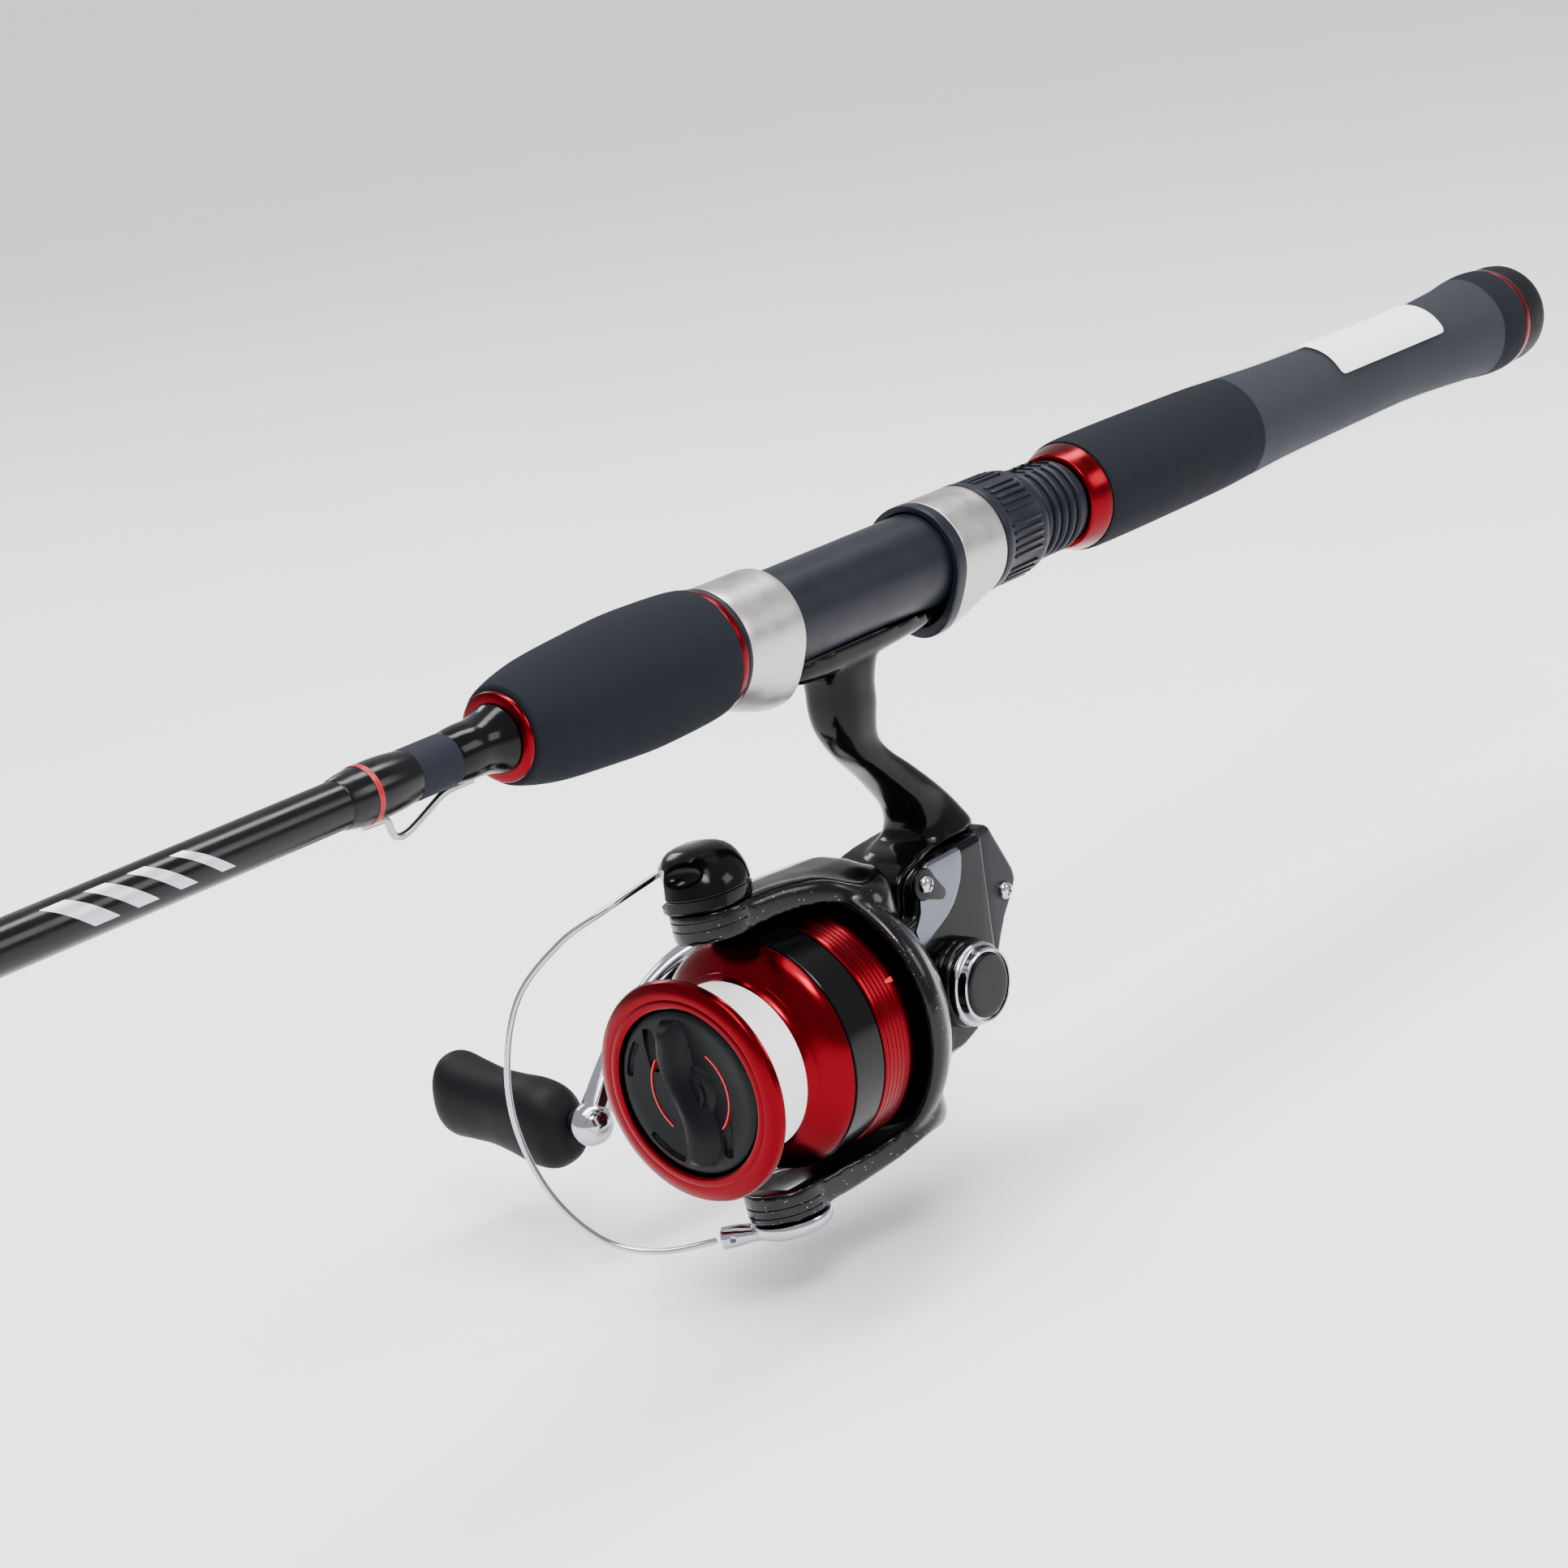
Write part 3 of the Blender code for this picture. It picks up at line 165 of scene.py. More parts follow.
def make_surfaces(look):
    """Every finish of the rod and reel."""
    # Moulded and sanded closed-cell foam: dull blue-grey black with a fine open grain.
    surface("eva_foam_sanded", look.foam, "#181a20", 0.88, cloud=9, grain=0.35, relief=0.07,
            Specular_IOR_Level=0.10)
    # Turned and red-anodised aluminium: deep crimson metal with faint tool lines round it.
    surface("aluminium_anodised_red", look.red, "#6f0a16", 0.23, cloud=3, grain=0.5, relief=0.003,
            stretch=RINGS, Metallic=1.0)
    # Bead-blasted, grey-plated aluminium: warm grey with a soft even sheen.
    surface("aluminium_satin_plated", look.grey, "#c2bebb", 0.36, cloud=5, grain=0.12, relief=0.006,
            Metallic=1.0)
    # Sprayed gloss black over moulded plastic, with metal flake drawn at a quarter millimetre.
    surface("paint_black_flake", look.black, "#08080b", 0.19, cloud=12, grain=2.5, relief=0.005,
            flake=0.26, Specular_IOR_Level=0.26)
    # Injection-moulded ABS in polished black: near-mirror gloss with a slight flow ripple.
    surface("abs_black_polished", look.black, "#070709", 0.15, cloud=14, grain=3, relief=0.006,
            Specular_IOR_Level=0.14)
    # Moulded nylon in satin black: blue-black, softly shining, faintly pebbled.
    surface("nylon_black_satin", "#0e1018", "#12141d", 0.40, cloud=7, grain=0.3, relief=0.010,
            Specular_IOR_Level=0.16)
    # Textured grip plastic of the drag knob: black, dull, with a fine spark-eroded grain.
    surface("nylon_charcoal_grained", "#08090c", "#0c0d11", 0.42, cloud=5, grain=0.22, relief=0.015,
            Specular_IOR_Level=0.13)
    # Clear-coated graphite tube: black with a deep wet gloss and faint wound bands.
    surface("graphite_clear_coated", "#050507", "#0a0a0d", 0.20, cloud=10, grain=4, relief=0.004,
            stretch=RINGS, Specular_IOR_Level=0.20)
    # Thread winding under epoxy: black thread lines seen through a thick glossy skin.
    surface("thread_under_epoxy", "#050507", "#0a0a0d", 0.19, cloud=6, grain=1.5, relief=0.004,
            bands=0.45, Specular_IOR_Level=0.20)
    # Bare thread winding with little resin: matte blue-black with its turns showing.
    surface("thread_matte", "#151720", "#1b1e28", 0.66, cloud=4, grain=0.3, relief=0.02, bands=0.45,
            Specular_IOR_Level=0.12)
    # Metallic red thread for the trim band.
    surface("thread_red", "#8e0c16", "#a3121c", 0.30, cloud=2, grain=0.2, relief=0.01,
            Specular_IOR_Level=0.4)
    # Nickel-chrome plate over zinc: bright mirror with faint polishing streaks.
    surface("zinc_chrome_plated", "#b6b7bd", "#a6a7b0", 0.12, cloud=5, grain=1.2, relief=0.003,
            spread=0.03, Metallic=1.0)
    # Drawn stainless wire and turned steel: bright, with fine lines along the draw.
    surface("steel_stainless_drawn", "#a6a7ab", "#96979d", 0.20, cloud=4, grain=0.3, relief=0.003,
            Metallic=1.0)
    # Die-cast zinc, left as cast: dull light grey with a mottled skin.
    surface("zinc_as_cast", "#8f9196", "#7e8086", 0.48, cloud=3, grain=0.3, relief=0.015, Metallic=1.0)
    # Machined brass: yellow metal with tool lines.
    surface("brass_machined", "#c49a50", "#b1883f", 0.28, cloud=4, grain=0.3, relief=0.004,
            stretch=RINGS, Metallic=1.0)
    # Moulded soft-touch rubber: deep matte black, only a broad faint sheen.
    surface("rubber_soft_touch", "#06070a", "#0a0b0e", 0.55, cloud=8, grain=0.25, relief=0.010,
            Specular_IOR_Level=0.12)
    # Shrunk PVC film: clear, faintly grey, puckered, shining at its wrinkles.
    surface("pvc_shrink_film", "#6a6e79", "#7a7e89", 0.28, cloud=20, grain=6, relief=0.05,
            stretch=(0.35, 1, 1), spread=0.10, Alpha=0.05, Specular_IOR_Level=0.45)
    # Coated label paper: white, smooth, with the faintest fibre.
    surface("paper_label_coated", "#f4f4f6", "#eeeef1", 0.50, cloud=3, grain=0.25, relief=0.01)
    # Polished alumina ring: dark grey ceramic, glassy.
    surface("alumina_polished", "#2a2c30", "#34363b", 0.10, cloud=3, grain=0.5, relief=0.002)
    # Oiled felt washers between steel ones: brown and fibrous.
    surface("felt_oiled", "#5c4c38", "#6d5b44", 0.90, cloud=2, grain=0.15, relief=0.06)
    # Silver lacquer on the housing's flank: cool grey metallic paint.
    surface("lacquer_silver", "#5a5c64", "#6b6e77", 0.30, cloud=5, grain=0.15, relief=0.004,
            Metallic=1.0)
    # Printed silver ink on the blank: pale grey, satin.
    surface("ink_silver_printed", "#b9bcc4", "#c6c9d0", 0.35, cloud=3, grain=0.2, relief=0.004,
            Metallic=0.4)
    # Red enamel filled into a groove: bright and glossy.
    surface("enamel_red", "#b01018", "#c0161e", 0.22, cloud=2, grain=0.4, relief=0.003,
            Specular_IOR_Level=0.4)


# Shapes ----------------------------------------------------------------------------------------

def refine(rows, steps):
    """Rows of numbers on a smooth curve through the given rows."""
    result = []
    last = len(rows) - 1
    for i in range(last):
        around = (rows[max(i - 1, 0)], rows[i], rows[i + 1], rows[min(i + 2, last)])
        for k in range(steps):
            t = k / steps
            result.append(tuple(
                0.5 * (2 * b + (c - a) * t + (2 * a - 5 * b + 4 * c - d) * t ** 2
                       + (3 * b - a - 3 * c + d) * t ** 3) for a, b, c, d in zip(*around)))
    result.append(tuple(rows[last]))
    return result


def arc(along, up, radius, low, high, steps):
    """Points of an arc round (along, up), from one angle in degrees to another."""
    turns = [math.radians(low + (high - low) * k / steps) for k in range(steps + 1)]
    return [(along + radius * math.cos(t), up + radius * math.sin(t)) for t in turns]


def face_out(work):
    """Turn every face of a closed bmesh outwards."""
    bmesh.ops.recalc_face_normals(work, faces=work.faces)
    if work.calc_volume(signed=True) < 0:
        bmesh.ops.reverse_faces(work, faces=work.faces)


def object_from(name, work, matrix=Matrix()):
    """Put a bmesh into the scene as a closed mesh facing out, with its place in its vertices."""
    bmesh.ops.remove_doubles(work, verts=work.verts, dist=1e-5)
    work.transform(matrix)
    face_out(work)
    mesh = bpy.data.meshes.new(name)
    work.to_mesh(mesh)
    work.free()
    obj = bpy.data.objects.new(name, mesh)
    bpy.context.scene.collection.objects.link(obj)
    return obj


def skin(name, rings, matrix=Matrix(), looped=False):
    """A solid over rings of points; a ring may be a single point. Looped joins the last to the first."""
    work = bmesh.new()
    rows = [[work.verts.new(point) for point in ring] for ring in rings]
    pairs = list(zip(rows, rows[1:]))
    if looped:
        pairs.append((rows[-1], rows[0]))
    count = max(len(row) for row in rows)
    for here, there in pairs:
        for i in range(count):
            j = (i + 1) % count
            corners = [here[i % len(here)], here[j % len(here)], there[j % len(there)],
                       there[i % len(there)]]
            corners = list(dict.fromkeys(corners))
            if len(corners) > 2:
                work.faces.new(corners)
    if not looped:
        for row in (rows[0], rows[-1]):
            if len(row) > 2:
                work.faces.new(row)
    return object_from(name, work, matrix)


def lathe(name, outline, matrix, bore=None, looped=False, steps=96):
    """A solid turned about its own X axis from (along, radius) pairs, bored right through if asked."""
    points = list(outline)
    if bore is not None:
        points += [(outline[-1][0], bore), (outline[0][0], bore)]
        looped = True
    rings = []
    for along, radius in points:
        if radius < 1e-6:
            rings.append([Vector((along, 0, 0))])
        else:
            rings.append([Vector((along, radius * math.cos(t), radius * math.sin(t)))
                          for t in (TAU * k / steps for k in range(steps))])
    return skin(name, rings, matrix, looped)


def band(start, end, radius, edge=0.3):
    """The outline of a ring with both its edges broken."""
    return [(start, radius - edge), (start + edge, radius), (end - edge, radius), (end, radius - edge)]


def oval(centre, across, tall, count, power=2.0):
    """A ring of points round a centre; a higher power squares it."""
    ring = []
    for k in range(count):
        t = TAU * k / count
        c, s = math.cos(t), math.sin(t)
        swell = (abs(c) ** power + abs(s) ** power) ** (-1.0 / power)
        ring.append(Vector(centre) + across * (c * swell) + tall * (s * swell))
    return ring


def slab(name, outline, low, high, matrix, upright=False):
    """A flat outline of (along, up) pairs given thickness across, or of (along, across) pairs upwards."""
    rings = []
    for level in (low, high):
        rings.append([Vector((a, b, level)) if upright else Vector((a, level, b)) for a, b in outline])
    return skin(name, rings, matrix)


def pipe(name, path, radius, matrix, sides=14):
    """A round wire through points, its radius given at each one or for all, with rounded ends."""
    points = [Vector(p) for p in path]
    sizes = radius if isinstance(radius, list) else [radius] * len(points)
    runs = [(points[min(i + 1, len(points) - 1)] - points[max(i - 1, 0)]).normalized()
            for i in range(len(points))]
    normal = runs[0].orthogonal().normalized()
    rings = [[points[0] - runs[0] * sizes[0] * 0.5]]
    for point, run, size in zip(points, runs, sizes):
        normal = (normal - run * normal.dot(run)).normalized()
        other = run.cross(normal)
        rings.append(oval(point, normal * size, other * size, sides))
    rings.append([points[-1] + runs[-1] * sizes[-1] * 0.5])
    return skin(name, rings, matrix)


def settle(obj):
    """Turn an object's modifiers into its mesh."""
    bpy.context.view_layer.update()
    graph = bpy.context.evaluated_depsgraph_get()
    mesh = bpy.data.meshes.new_from_object(obj.evaluated_get(graph))
    obj.modifiers.clear()
    obj.data = mesh
    return obj


def merge(obj, *others):
    """Lay closed solids into one mesh, to be melted together."""
    work = bmesh.new()
    for solid in (obj, *others):
        work.from_mesh(solid.data)
    work.to_mesh(obj.data)
    work.free()
    for other in others:
        bpy.data.objects.remove(other, do_unlink=True)
    return obj


def combine(obj, *others, operation='UNION'):
    """Join solids to a piece, or cut them away."""
    for other in others:
        change = obj.modifiers.new("change", 'BOOLEAN')
        change.operation = operation
        change.solver = 'EXACT'
        change.object = other
        settle(obj)
        bpy.data.objects.remove(other, do_unlink=True)
    return obj


def cut(obj, *others):
    """Cut closed solids away from a piece."""
    return combine(obj, *others, operation='DIFFERENCE')


def round_edges(obj, width, degrees=30.0, segments=3):
    """Round every edge that turns by more than the given angle."""
    edge = obj.modifiers.new("edge", 'BEVEL')
    edge.width = width * MM
    edge.segments = segments
    edge.limit_method = 'ANGLE'
    edge.angle_limit = math.radians(degrees)
    edge.harden_normals = False
    return settle(obj)


def melt(obj, voxel, passes):
    """Flow joined solids into one moulded form with filleted meetings."""
    skinned = obj.modifiers.new("skin", 'REMESH')
    skinned.mode = 'VOXEL'
    skinned.voxel_size = voxel * MM
    relax = obj.modifiers.new("relax", 'SMOOTH')
    relax.factor = 0.5
    relax.iterations = passes
    return settle(obj)


def dress(obj, finish, body, slot, *nodes, sharp=32.0):
    """Shade a piece, give it its finish, tie it to its body and hide the frame's nodes it stands for; the
    slot is not used.
    """
    mesh = obj.data
    work = bmesh.new()
    work.from_mesh(mesh)
    bmesh.ops.remove_doubles(work, verts=work.verts, dist=1e-7)
    face_out(work)
    work.to_mesh(mesh)
    work.free()
    mesh.shade_smooth()
    mesh.set_sharp_from_angle(angle=math.radians(sharp))
    mesh.materials.clear()
    mesh.materials.append(SURFACES[finish])
    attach(obj, body)
    if nodes:
        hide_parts(*nodes)
    return obj


# Repeating shapes, as node trees ------------------------------------------------------------------

def node_tree(name, inputs):
    """An empty geometry tree with named inputs; returns it with its input and output nodes."""
    tree = bpy.data.node_groups.new(name, 'GeometryNodeTree')
    tree.interface.new_socket("Geometry", in_out='OUTPUT', socket_type='NodeSocketGeometry')
    for label, kind in inputs:
        tree.interface.new_socket(label, in_out='INPUT', socket_type=kind)
    return tree, add_node(tree, "NodeGroupInput"), add_node(tree, "NodeGroupOutput")


def close_tree(tree, given, result, shape):
    """End a tree in real geometry with its material."""
    real = add_node(tree, "GeometryNodeRealizeInstances", None, {0: shape})
    painted = add_node(tree, "GeometryNodeSetMaterial", None,
                       {"Geometry": real.outputs[0], "Material": given.outputs["Material"]})
    tree.links.new(painted.outputs[0], result.inputs[0])


def coil_tree():
    """A wire wound in a helix about X: a screw's thread or the turns of a winding."""
    tree, given, result = node_tree("wound_coil", [
        ("Turns", 'NodeSocketFloat'), ("Length", 'NodeSocketFloat'), ("Radius", 'NodeSocketFloat'),
        ("Wire", 'NodeSocketFloat'), ("Steps", 'NodeSocketInt'), ("Material", 'NodeSocketMaterial')])
    out = given.outputs
    line = add_node(tree, "GeometryNodeCurveSpiral", None,
                    {"Resolution": out["Steps"], "Rotations": out["Turns"], "Start Radius": out["Radius"],
                     "End Radius": out["Radius"], "Height": out["Length"]})
    lying = add_node(tree, "GeometryNodeTransform", {"Rotation": (0.0, math.radians(90), 0.0)},
                     {"Geometry": line.outputs[0]})
    round_wire = add_node(tree, "GeometryNodeCurvePrimitiveCircle", {"Resolution": 10},
                          {"Radius": out["Wire"]})
    wound = add_node(tree, "GeometryNodeCurveToMesh", {"Fill Caps": True},
                     {"Curve": lying.outputs[0], "Profile Curve": round_wire.outputs[0]})
    close_tree(tree, given, result, wound.outputs[0])
    return tree


def ribs_tree():
    """Raised ribs round X, in groups with gaps between them."""
    tree, given, result = node_tree("grip_ribs", [
        ("Count", 'NodeSocketInt'), ("Group", 'NodeSocketInt'), ("Filled", 'NodeSocketInt'),
        ("Radius", 'NodeSocketFloat'), ("Size", 'NodeSocketVector'), ("Material", 'NodeSocketMaterial')])
    out = given.outputs
    circle = add_node(tree, "GeometryNodeMeshCircle", None,
                      {"Vertices": out["Count"], "Radius": out["Radius"]})
    where = add_node(tree, "GeometryNodeInputIndex")
    place = add_node(tree, "ShaderNodeMath", {"operation": 'MODULO'},
                     {0: where.outputs[0], 1: out["Group"]})
    empty = add_node(tree, "FunctionNodeCompare", {"data_type": 'FLOAT', "operation": 'GREATER_EQUAL'},
                     {0: place.outputs[0], 1: out["Filled"]})
    kept = add_node(tree, "GeometryNodeDeleteGeometry", {"domain": 'POINT'},
                    {"Geometry": circle.outputs[0], "Selection": empty.outputs[0]})
    spot = add_node(tree, "GeometryNodeInputPosition")
    facing = add_node(tree, "FunctionNodeAlignRotationToVector", {"axis": 'X'}, {"Vector": spot.outputs[0]})
    rib = add_node(tree, "GeometryNodeMeshCube", {"Vertices X": 2, "Vertices Y": 2, "Vertices Z": 2},
                   {"Size": out["Size"]})
    set_round = add_node(tree, "GeometryNodeInstanceOnPoints", None,
                         {"Points": kept.outputs[0], "Instance": rib.outputs["Mesh"],
                          "Rotation": facing.outputs[0]})
    lying = add_node(tree, "GeometryNodeTransform", {"Rotation": (0.0, math.radians(90), 0.0)},
                     {"Geometry": set_round.outputs[0]})
    close_tree(tree, given, result, lying.outputs[0])
    return tree


def row_tree():
    """Copies of a sample object at each point of a mesh, for screws and the like."""
    tree, given, result = node_tree("set_out_copies", [
        ("Places", 'NodeSocketObject'), ("Sample", 'NodeSocketObject'), ("Material", 'NodeSocketMaterial')])
    out = given.outputs
    places = add_node(tree, "GeometryNodeObjectInfo", None, {"Object": out["Places"]})
    sample = add_node(tree, "GeometryNodeObjectInfo", None, {"Object": out["Sample"]})
    copies = add_node(tree, "GeometryNodeInstanceOnPoints", None,
                      {"Points": places.outputs["Geometry"], "Instance": sample.outputs["Geometry"]})
    close_tree(tree, given, result, copies.outputs[0])
    return tree


def grow(name, tree, values, matrix=Matrix()):
    """Run a tree with the given inputs and keep its result as a plain mesh."""
    host = bpy.data.objects.new(name, bpy.data.meshes.new(name))
    bpy.context.scene.collection.objects.link(host)
    change = host.modifiers.new("grow", 'NODES')
    change.node_group = tree
    for item in tree.interface.items_tree:
        if item.in_out == 'INPUT' and item.name in values:
            change[item.identifier] = values[item.name]
    settle(host)
    host.data.transform(matrix)
    return host


# Rod ---------------------------------------------------------------------------------------------

TAPER_START = -120.0
BUTT_RADIUS, SPIGOT_RADIUS, FERRULE_RADIUS, TIP_RADIUS = 4.6, 3.3, 4.15, 0.8


def blank_radius(along):
    """The blank's outer radius: straight by the grip, then a taper on each section."""
    if along > TAPER_START:
        return BUTT_RADIUS
    if along > JOINT_STATION:
        share = (TAPER_START - along) / (TAPER_START - JOINT_STATION)
        return BUTT_RADIUS + (SPIGOT_RADIUS - BUTT_RADIUS) * share
    share = (JOINT_STATION - along) / (JOINT_STATION - TIP_STATION)
    return FERRULE_RADIUS + (TIP_RADIUS - FERRULE_RADIUS) * share


def rod_place(along):
    """The place of a station on the rod's axis, for shapes already in metres."""
    return Matrix.Translation(((along - HANDLE_LENGTH) * MM, 0, 0))


def round_point(along, radius, degrees):
    """A point round the rod; 0 degrees is the handle's side and 90 is the top."""
    t = math.radians(degrees)
    return Vector((along, radius * math.cos(t), radius * math.sin(t)))


def wrapped_patch(name, rows, radius, thick, matrix=ROD):
    """A thin patch wrapped round the rod from (along, low degrees, high degrees) rows."""
    count = 24
    rings = []
    for along, low, high in rows:
        size = radius(along)
        ring = [round_point(along, size + thick, low + (high - low) * k / count) for k in range(count + 1)]
        ring += [round_point(along, size, high - (high - low) * k / count) for k in range(count + 1)]
        rings.append(ring)
    return skin(name, rings, matrix)


# Station, radius of the opening, ring's drop below the blank, and body
GUIDES = [(-430.0, 9.0, 13.0, "rod_handle"), (-735.0, 6.0, 9.5, "tip_section"),
          (-955.0, 4.5, 7.5, "tip_section"), (-1160.0, 3.6, 6.2, "tip_section"),
          (-1370.0, 3.0, 5.3, "tip_section")]
GUIDE_LEAN = 0.35
GUIDE_WIRE, TIP_WIRE = 0.55, 0.5          # radii
GUIDE_RIM = (0.75, 0.62)                  # half the ring's depth along the line's way, and its thickness


def guide_path(along, opening, drop, radius):
    """One wire: along the blank, down one side, round under the ring and back up."""
    side, top = 1.05, -(radius + 0.9)
    centre, reach = -(radius + drop), opening + 1.55
    half = [(along + 9.0, side, top), (along + 2.0, side, top)]
    for degrees in (58, 25, -10, -50):
        t = math.radians(degrees)
        up = centre + reach * math.sin(t)
        half.append((along - GUIDE_LEAN * (top - up), reach * math.cos(t), up))
    lowest = (along - GUIDE_LEAN * (top - centre + reach), 0.0, centre - reach)
    return half + [lowest] + [(a, -b, c) for a, b, c in reversed(half)]


def guide_ring(name, along, up, opening):
    """A polished ring leaning with its frame, thicker along the line's way than across it."""
    deep, thick = GUIDE_RIM
    loop = [(deep * math.cos(t), opening + thick * math.sin(t)) for t in (TAU * k / 20 for k in range(20))]
    lean = Matrix.Translation((along, 0, up)) @ Matrix.Rotation(-math.atan(GUIDE_LEAN), 4, 'Y')
    return lathe(name, loop, ROD @ lean, looped=True, steps=72)


def bound_foot(name, start, end, radius):
    """A winding that swells over the guide's two feet below the blank."""
    rings = []
    for share in (0.0, 0.0, 0.08, 0.2, 0.5, 0.8, 0.92, 1.0, 1.0):
        along = start + (end - start) * share
        rise = math.sin(math.pi * share) ** 0.4
        rings.append([round_point(along, radius - 0.1 + (0.3 + 1.45 * max(0.0, -math.sin(t)) ** 8) * rise,
                                  math.degrees(t)) for t in (TAU * k / 64 for k in range(64))])
    rings[0] = [round_point(start, radius - 0.6, 360 * k / 64) for k in range(64)]
    rings[-1] = [round_point(end, radius - 0.6, 360 * k / 64) for k in range(64)]
    return skin(name, rings, ROD)


STRIPE_START, STRIPE_PITCH = -112.0, 9.5
STRIPE_WIDTH, STRIPE_NARROWING, STRIPE_LEAN = 5.5, 0.8, 0.11    # the lean is millimetres a degree
STRIPE_TOP, STRIPE_FOOT = 4.635, 4.58                           # radii of the ink's two faces
BUTT_BORE, BINDING_BORE, GRIP_BORE = 2.0, 4.4, 4.95


class BuildBlank(bpy.types.Operator):
    """Build the two sections of the blank with their windings, hook keeper and front ring"""

    bl_idname = "rodreel.blank"
    bl_label = "Blank and Windings"

    def execute(self, context):
        look = context.scene.rod_look
        spigot = blank_radius(JOINT_STATION + 0.01)
        butt = [(-670, 2.6), (-669.6, 2.8), (-669, 2.9), (JOINT_STATION, spigot)]
        butt += [(a, blank_radius(a)) for a in (-560, -450, -280, -180, -119, -40, 384.8)]
        dress(lathe("butt_blank_tube", butt, ROD, bore=BUTT_BORE), "graphite_clear_coated", "rod_handle",
              "carbon", "butt_blank")
        socket = spigot + 0.3
        tip = [(TIP_STATION + 3, 0.0), (TIP_STATION + 3, 0.7)]
        tip += [(a, blank_radius(a)) for a in (-1500, -1200, -900)]
        tip += [(-678, socket + 0.65), (-611.4, socket + 0.8), (-610.6, socket + 0.75),
                (-610.4, socket + 0.6), (-610.4, socket), (-670, socket - 0.1), (-672, 2.9), (-672, 0.0)]
        dress(lathe("tip_blank_tube", tip, ROD), "graphite_clear_coated", "tip_section", "carbon",
              "tip_blank")
        winding = [(-43, 4.55), (-42.6, 4.8), (-41, 5.1), (-39, 5.35), (-36, 5.55), (-33, 5.62), (-30, 5.5),
                   (-27, 5.2), (-25.6, 5.0), (-25.2, 4.9), (-25, 4.5)]
        dress(lathe("keeper_binding_front", refine(winding, 4), ROD, bore=BINDING_BORE),
              "thread_under_epoxy", "rod_handle", "black_gloss")
        sleeve = [(-25.4, 4.5), (-25.3, 5.0), (-24.8, 5.12), (-15.4, 5.12), (-15, 5.0), (-14.9, 4.5)]
        dress(lathe("keeper_binding_middle", sleeve, ROD, bore=BINDING_BORE), "thread_matte", "rod_handle",
              "black_gloss")
        flare = [(-15.2, 4.5), (-15, 4.9), (-13.6, 5.18), (-11.6, 5.42), (-9.6, 5.5), (-7.8, 5.48),
                 (-6.0, 5.62), (-4.4, 5.95), (-3.1, 6.35), (-2.1, 6.7), (-1.6, 6.8), (-1.4, 6.6),
                 (-1.4, 6.0)]
        dress(lathe("front_check_cone", refine(flare, 4), ROD, bore=BINDING_BORE), "abs_black_polished",
              "rod_handle", "black_gloss", "keeper_winding")
        trim = grow("keeper_trim_turns", coil_tree(), {
            "Turns": 4.0, "Length": 1.3 * MM, "Radius": 5.52 * MM, "Wire": 0.16 * MM, "Steps": 64,
            "Material": SURFACES["thread_red"]}, rod_place(-37.2))
        dress(trim, "thread_red", "rod_handle", "red_metal")
        keeper = [(-37.5, 0, -5.7), (-34, 0, -5.9), (-32, 0, -6.1), (-31.2, 0, -7.2), (-30.8, 0, -8.8),
                  (-30.0, 0, -9.9), (-28.2, 0, -10.2), (-25.8, 0, -9.6), (-22.4, 0, -8.2), (-19.2, 0, -6.8),
                  (-16.6, 0, -5.9), (-14, 0, -5.6), (-9, 0, -5.6)]
        dress(pipe("hook_keeper_wire", refine(keeper, 5), 0.72, ROD), "steel_stainless_drawn", "rod_handle",
              "chrome", "hook_keeper")
        ring = lathe("front_ring_turned", [(-1.3, 7.8), (-1.0, 8.75), (-0.2, 8.9), (0.0, 8.6)], ROD,
                     bore=4.6)
        dress(round_edges(ring, 0.15), "aluminium_anodised_red", "rod_handle", "red_metal", "front_ring")
        for number in range(look.stripes):
            start = STRIPE_START + STRIPE_PITCH * number
            width = STRIPE_WIDTH - STRIPE_NARROWING * number
            rings = []
            for degrees in range(118, 199, 10):
                along = start + STRIPE_LEAN * (degrees - 118)
                ring = [round_point(along + width * k / 6, STRIPE_TOP, degrees) for k in range(7)]
                ring += [round_point(along + width * (6 - k) / 6, STRIPE_FOOT, degrees) for k in range(7)]
                rings.append(ring)
            dress(skin(f"blank_stripe_{number + 1}", rings, ROD), "ink_silver_printed", "rod_handle",
                  "satin_metal", sharp=60)
        return {'FINISHED'}


